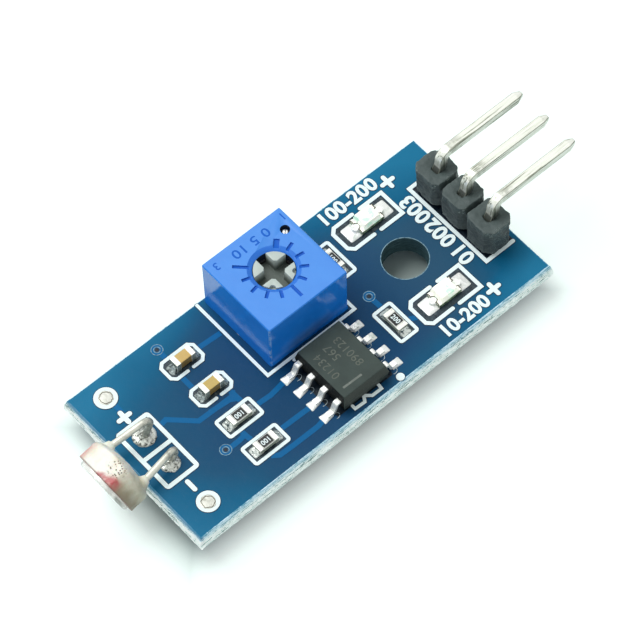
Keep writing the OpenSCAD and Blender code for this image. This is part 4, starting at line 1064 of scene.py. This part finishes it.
def tail_joints():
    """Joints of the wires through the board: the sensor's, the header's and the trimmer's."""
    bm = bmesh.new()
    # above, the sensor's joints are flat, pitted discs that climb the leads
    for n, (x, y, r) in enumerate(((2.05, 8.07, 0.83), (2.02, 5.44, 0.72))):
        disc = [(r, 0.0), (r - 0.01, 0.05), (r - 0.06, 0.10), (r - 0.16, 0.13), (r - 0.3, 0.17), (0.33, 0.24),
                (0.25, 0.36), (0.18, 0.42)]
        turned(bm, at(x, y), disc, 56, seed=80.0 + n * 7, rough=0.05)
        through_cone(bm, LEADS_X, LEADS_Y + (1 - 2 * n) * PITCH / 2, 0.41, 0.25, 0.84, 90.0 + n)
    joint_piece("sensor_joints", bm, JOINT, "sensor_solder")
    bm = bmesh.new()
    for n, y in enumerate(HEADER_YS):
        through_cone(bm, HEADER_X, y, 0.54, 0.36, 0.91, 100.0 + n * 3)
    joint_piece("header_joints", bm, SOLDER, "header_solder")
    bm = bmesh.new()
    land = [(0.8, 0.0), (0.78, 0.03), (0.56, 0.04), (0.46, 0.05), (0.25, 0.04)]
    for n, (dx, dy) in enumerate(((PITCH, 0), (0, PITCH), (-PITCH, 0))):
        x, y = TRIMMER_X + dx, TRIMMER_Y + dy
        through_cone(bm, x, y, 0.44, 0.3, 0.84, 120.0 + n * 3)
        turned(bm, at(x, y), land, 40)
    joint_piece("trimmer_joints", bm, SOLDER_CHIP, "trimmer_solder")


# Light sensor

def lead_path(side, top, back):
    """The lead's middle line: a tail, a leg that leans back, a bend and a straight run into the disc."""
    bend, run_x, rise = 0.4, 2.9, 1.12
    disc_pitch, into_disc = 3.5, 1.1
    disc_y = side * (disc_pitch - PITCH) / 2
    heading = math.atan2(disc_y, run_x)
    b = radians(back)
    leg = (top - bend - 2 * bend * sin(b)) / cos(b)
    bend_x = bend * (2 * cos(b) - 1) - leg * sin(b)
    reach = hypot(run_x, disc_y) - bend_x
    drop = top - bend - rise
    slope = math.atan2(drop, reach) + math.asin(bend / hypot(reach, drop))
    length = math.sqrt(reach * reach + drop * drop - bend * bend) + into_disc
    flat = [(0.0, 0.02 - BOARD_T - TAIL + 0.25 * i) for i in range(12)]
    flat += [(bend * (cos(b * t) - 1), bend * sin(b * t)) for t in shares(8)]
    x, z = flat[-1]
    flat += [(x - leg * sin(b) * t, z + leg * cos(b) * t) for t in shares(4)]
    for t in shares(18):
        a = pi + b - (pi / 2 + slope + b) * t
        flat.append((bend_x + bend * cos(a), top - bend + bend * sin(a)))
    x, z = flat[-1]
    flat += [(x + cos(slope) * length * t, z - sin(slope) * length * t) for t in shares(14)]
    start = Vector((LEADS_X, LEADS_Y + side * PITCH / 2, 0))
    return [start + Vector((-x * cos(heading), x * sin(heading), z)) for x, z in flat]


def disc_crown(place):
    """How far the dipped coat is crowned behind, where the leads leave it."""
    radius, front, height = 2.4, 0.5, 0.55
    axis = Vector(DISC_AXIS)
    off = place - Vector(DISC_MIDDLE) - ORIGIN
    depth = off.dot(axis)
    far = (off - axis * depth).length
    if depth > front or far > radius:
        return Vector((0, 0, 0))
    rise = min(1.0, max(0.0, (place.z + 0.1) / 0.9))
    return axis * (-height * (1 - (far / radius) ** 2) ** 0.7 * rise * min(1.0, (front - depth) / front))


def build_sensor():
    for name, side, top, back in (("far", 1, 1.95, 20), ("near", -1, 1.25, 48)):
        bm = bmesh.new()
        swept(bm, lead_path(side, top, back), 0.235, 20, side * 3.0, 0.045,
              lambda t: 0.06 * math.exp(-((t - 0.52) / 0.08) ** 2))
        node = "sensor_lead_" + name
        piece(node + "_finished", bm, WIRE, slot="tinned_wire", sharp=60, replaces=node)
    worn("sensor_body", DISC, 0.05, 3, ((0.035, 0.9, 2.0), (0.018, 2.6, 5.0), (0.006, 8.0, 1.0)), disc_crown)
    finish_node("sensor_track", TRACK)
    dressed("sensor_front_coat", COAT, width=0.05, segments=3, slot="sensor_front_coat")


# Header

MOULDING_Z = 2.2  # above this the moulding has hollows and the pins lean


def header_hollow(place):
    """How far the header's top face dips round its pins and between its segments."""
    if place.z < MOULDING_Z:
        return Vector((0, 0, 0))
    near = min(hypot(place.x - HEADER_X - 0.2, place.y - y) for y in HEADER_YS)
    split = min(abs(place.y - HOLE_Y - PITCH * i) for i in (-0.5, 0.5))
    deep = 0.24 * math.exp(-(near / 0.66) ** 2) + 0.42 * math.exp(-(split / 0.13) ** 4)
    return Vector((0, 0, -deep * min(1.0, (place.z - MOULDING_Z) / 0.4)))


def pin_lean(place):
    """How far a bent pin leans towards its run above the moulding."""
    lean = 0.34 * soft_step(place.z, MOULDING_Z, MOULDING_Z + 1) * (1 - soft_step(place.x, 28.9, 30.2))
    return Vector((lean, 0, 0))


def build_header():
    lumps = ((0.08, 1.1, 3.0), (0.05, 3.0, 7.0), (0.025, 8.0, 4.0))
    worn("header_housing", BLACK, 0.06, 2, lumps, header_hollow)
    for which in ("near", "middle", "far"):
        dressed("header_pin_" + which, PIN, PIN_SHADED_EDGE, width=0.045, slot="header_pins", edges=1,
                shift=pin_lean, cuts=(MOULDING_Z, 2.6, 2.9, 3.2))


# Trimmer

def trimmer_face(face):
    """A case's face has the look of the top, the sides, an engraved line, the rim or a hole's wall; engraved
    lines and hole walls are darker as painted shade.
    """
    top_z, engraved_z, rim_z, bore_z, bore_r = 4.6, 4.4, 4.38, 3.4, 1.6
    mid = face.calc_center_median() - Vector((TRIMMER_X, TRIMMER_Y, 0))
    r = hypot(mid.x, mid.y)
    if hypot(mid.x - SIGHT_X, mid.y - SIGHT_Y) < 0.38 and mid.z < top_z:
        return 4
    if face.normal.z > 0.9 and mid.z > top_z:
        return 0
    if r < bore_r + 0.2 and rim_z < mid.z and 0.1 < abs(face.normal.z) < 0.95:
        return 3
    if r < bore_r and mid.z > bore_z:
        return 4
    inside = max(abs(mid.x), abs(mid.y)) < 3.2
    return 2 if inside and engraved_z < mid.z < top_z else 1


def build_trimmer():
    case = "trimmer_housing"
    dressed(case, BLUE_TOP, BLUE_SIDE, BLUE_ENGRAVED_SHADE, BLUE_RIM, SIGHT, width=0.03, slot=case, which=trimmer_face)
    dressed("trimmer_rotor", ROTOR, body="adjuster", slot="trimmer_rotor")
    for name, look in (("seal", SEAL), ("wiper", SPRING), ("element", CERAMIC), ("base", BASE_RESIN),
                       ("pin_1", WIRE), ("pin_2", WIRE), ("pin_3", WIRE)):
        finish_node("trimmer_" + name, look)
    # the case's walls reach the board between its feet
    bm = bmesh.new()
    low, high = ([c / MM + o for c, o in zip(corner, ORIGIN)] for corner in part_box(case))
    walls = loop_points(low[0] + 0.09, low[1] + 0.09, high[0] - 0.09, high[1] - 0.09)
    ribbon(bm, walls, 0.15, 0.03, 0.32, closed=True)
    piece("trimmer_skirt", bm, BLUE_SIDE, slot=case)
    # engraved numbers, drawn as thin dark marks on the top: painted shade of the engraving
    bm = bmesh.new()
    words(bm, "1", 17.89, 12.5, CASE_TOP, 0.85, 180, 0.006, bold=0.01)
    words(bm, "3", 12.17, 12.45, CASE_TOP, 0.85, 180, 0.006, bold=0.01)
    words(bm, "0 5 10", 15.0, 12.3, CASE_TOP, 1.0, 180, 0.006, bold=0.012, squash=1.15)
    piece("trimmer_numbers", bm, BLUE_ENGRAVED_SHADE, slot=case)
    # the slotted head that shows in the sight hole
    bm = bmesh.new()
    x, y, slot_reach = TRIMMER_X + SIGHT_X, TRIMMER_Y + SIGHT_Y, 0.12
    turned(bm, at(x, y, 4.12), [(0.2, 0.0), (0.2, 0.16), (0.17, 0.2), (0.02, 0.21)], 24)
    ends = [(x + way * slot_reach, y + way * slot_reach) for way in (-1, 1)]
    # the slot: painted shade
    ribbon(bm, ends, 0.06, 4.3, 4.335, slot=1)
    piece("trimmer_sight_disc", bm, LEAD, SIGHT, slot=case)


# Comparator, chip parts and lights

def build_comparator():
    dressed("comparator_body", CHIP_BLACK, CHIP_SHADED_SIDE, CHIP_SHADE, width=0.035, slot="comparator_body",
            angle=25, which=lambda face: 2 if face.normal.x < -0.5 else upward(face))
    for i in range(1, 9):
        dressed("comparator_lead_%d" % i, LEAD, width=0.025, slot="comparator_leads", angle=50)
    bm = bmesh.new()
    ribbon(bm, [(13.4, 1.46), (14.95, 1.42)], 0.15, CHIP_TOP - 0.01, CHIP_TOP + 0.004)
    for body, x, y in (("01234", 13.66, 3.35), ("567", 14.62, 3.9), ("890123", 15.5, 3.3)):
        words(bm, body, x, y, CHIP_TOP, 0.84, 90, 0.004, 1)
    piece("comparator_mark", bm, MARK, CHIP_FAINT, slot="comparator_body")


def build_resistors():
    """Ceramic chips with a dark window and plain numbers."""
    for i in range(1, 5):
        name = "resistor_%d_" % i
        dressed(name + "body", CERAMIC, CERAMIC_SHADED_SIDE, width=0.02, slot="resistor_ceramic", which=upward)
        dressed(name + "film", CERAMIC, width=0.012, slot="resistor_film")
        dressed(name + "terminals", CAP, CERAMIC_SHADED_SIDE, width=0.02, slot="chip_terminals", which=upward)
    bm = bmesh.new()
    for (x, y, turn), body in zip(RESISTORS, ("100", "100", "200", "100")):
        w, h = (0.86, 0.68) if turn == 0 else (0.68, 0.86)
        patch(bm, loop_points(x - w / 2, y - h / 2, x + w / 2, y + h / 2, 0.05), 0.46, 0.503, 1)
        words(bm, body, x, y, 0.504, 0.50, turn + 180, 0.006, bold=0.01, squash=0.92)
    piece("resistor_numbers", bm, INK, FILM, slot="resistor_film")


def build_capacitors():
    for i, look in ((1, TAN), (2, TAN_GREEN)):
        dressed("capacitor_%d_body" % i, look, TAN_SHADED_SIDE, segments=3, slot="capacitor_ceramic", which=upward)
        dressed("capacitor_%d_terminals" % i, CAP, CAP_SHADED_SIDE, segments=3, slot="chip_terminals", which=upward)


def build_lights():
    """Pale bases with a lens each, and ragged dark lines round their notched ends: painted shade round the
    solder in the notches.
    """
    for which in ("power", "output"):
        dressed("led_%s_base" % which, LED_BASE, LED_SHADED_SIDE, width=0.02, slot="led_base", which=upward)
        dressed("led_%s_lens" % which, LENS, width=0.1, segments=4, slot="led_lens")
        dressed("led_%s_terminals" % which, CAP, width=0.008, segments=1, slot="chip_terminals")
    notch_x, notch_r = 0.99, 0.27
    notch = [radians(-90 - 180 * i / 8) for i in range(9)]
    path = [(notch_x, -0.6), (0.96, -0.42), (0.97, -0.3)]
    path += [(notch_x + notch_r * cos(a), notch_r * sin(a)) for a in notch]
    path += [(0.97, 0.3), (0.95, 0.45), (notch_x, 0.6)]
    bm = bmesh.new()
    for x, y in LIGHTS:
        for side in (-1, 1):
            ribbon(bm, [(x + side * px, y + py) for px, py in path], 0.055, 0.36, 0.408)
    piece("light_end_painted_shade", bm, RAGGED_DARK_LINE, slot="led_base")


# Stage

def build_floor():
    """A pale floor that keeps the shadow; the lift that whitens it fades out beneath the board and up to 1.6
    mm beyond its edges, a painted shadow that reaches further out at the sensor's end.
    """
    look = Look("floor", Roughness=1.0, Specular_IOR_Level=0.0)
    look.shader.inputs["Base Color"].default_value = (0.545, 0.64, 0.615, 1)
    look.shader.inputs["Emission Color"].default_value = (0.96, 1, 0.985, 1)
    # painted shadow round the board, reaching furthest at the sensor's end on its near side
    sensor_end = look.times(look.step(look.y, 4.8, -1.5, 0.45, 1.05), look.step(look.x, -20.0, -23.0))
    out_x = look.calc("SUBTRACT", look.off(look.x, BOARD_L / 2 - HOLE_X), BOARD_L / 2, sensor_end)
    out_y = look.calc("SUBTRACT", look.off(look.y, BOARD_W / 2 - HOLE_Y), BOARD_W / 2)
    lift = look.step(look.most(out_x, out_y), -2.0, 1.6, 0.0, 0.58)
    look.tree.links.new(look.times(lift, seen_rays(look.tree)), look.shader.inputs["Emission Strength"])
    bm = bmesh.new()
    bmesh.ops.create_grid(bm, x_segments=8, y_segments=8, size=0.6)
    mesh = bpy.data.meshes.new("floor")
    bm.to_mesh(mesh)
    bm.free()
    mesh.materials.append(look.mat)
    floor = bpy.data.objects.new("floor", mesh)
    floor.location = (0, 0, -TAIL * MM)
    bpy.context.scene.collection.objects.link(floor)


def build_world():
    """Soft light all round, and plain white where it is seen."""
    world = bpy.data.worlds.new("studio")
    bpy.context.scene.world = world
    world.use_nodes = True
    tree = world.node_tree
    tree.nodes.clear()
    soft = add_node(tree, "Background", {0: (0.96, 1.0, 0.99, 1), 1: 0.45}).outputs[0]
    white = add_node(tree, "Background", {0: (1, 1, 1, 1), 1: 1.0}).outputs[0]
    pick = add_node(tree, "MixShader", {0: seen_rays(tree), 1: soft, 2: white}).outputs[0]
    add_node(tree, "OutputWorld", {0: pick})


def build_lamps():
    aim = Vector((-0.008, 0, 0))
    for name, place, size, power, tint in (
            ("key", (-0.05, 0.13, 0.26), 0.2, 0.56, (0.985, 1.0, 0.985)),
            ("fill", (-0.10, -0.22, 0.10), 0.16, 0.03, (0.97, 1.0, 1.0))):
        data = bpy.data.lights.new(name, "AREA")
        data.shape = "SQUARE"
        data.size = size
        data.energy = power
        data.color = tint
        lamp = bpy.data.objects.new(name, data)
        lamp.location = place
        lamp.rotation_euler = (aim - Vector(place)).to_track_quat("-Z", "Y").to_euler()
        bpy.context.scene.collection.objects.link(lamp)


def build_camera():
    """The camera that was fitted to the photo."""
    data = bpy.data.cameras.new("camera")
    data.lens = 200.787
    data.sensor_width = 36
    data.clip_start = 0.01
    data.clip_end = 10
    camera = bpy.data.objects.new("camera", data)
    camera.location = (-0.083519, -0.09225, 0.203577)
    camera.rotation_euler = [radians(a) for a in (30.656, 1.1049, -41.3444)]
    bpy.context.scene.collection.objects.link(camera)
    bpy.context.scene.camera = camera
    bpy.context.scene.view_settings.view_transform = "Standard"


build_board()
build_edge()
build_tracks()
build_vias()
build_windows()
build_print()
chip_joints("resistor_joints", RESISTORS, 0.34, "resistor_solder", 1.0, SOLDER_CHIP)
chip_joints("capacitor_joints", CAPACITORS, 0.46, "capacitor_solder", 20.0, SOLDER_DIM)
comparator_joints()
light_joints()
pad_joints()
tail_joints()
build_sensor()
build_header()
build_trimmer()
build_comparator()
build_resistors()
build_capacitors()
build_lights()
build_floor()
build_world()
build_lamps()
build_camera()
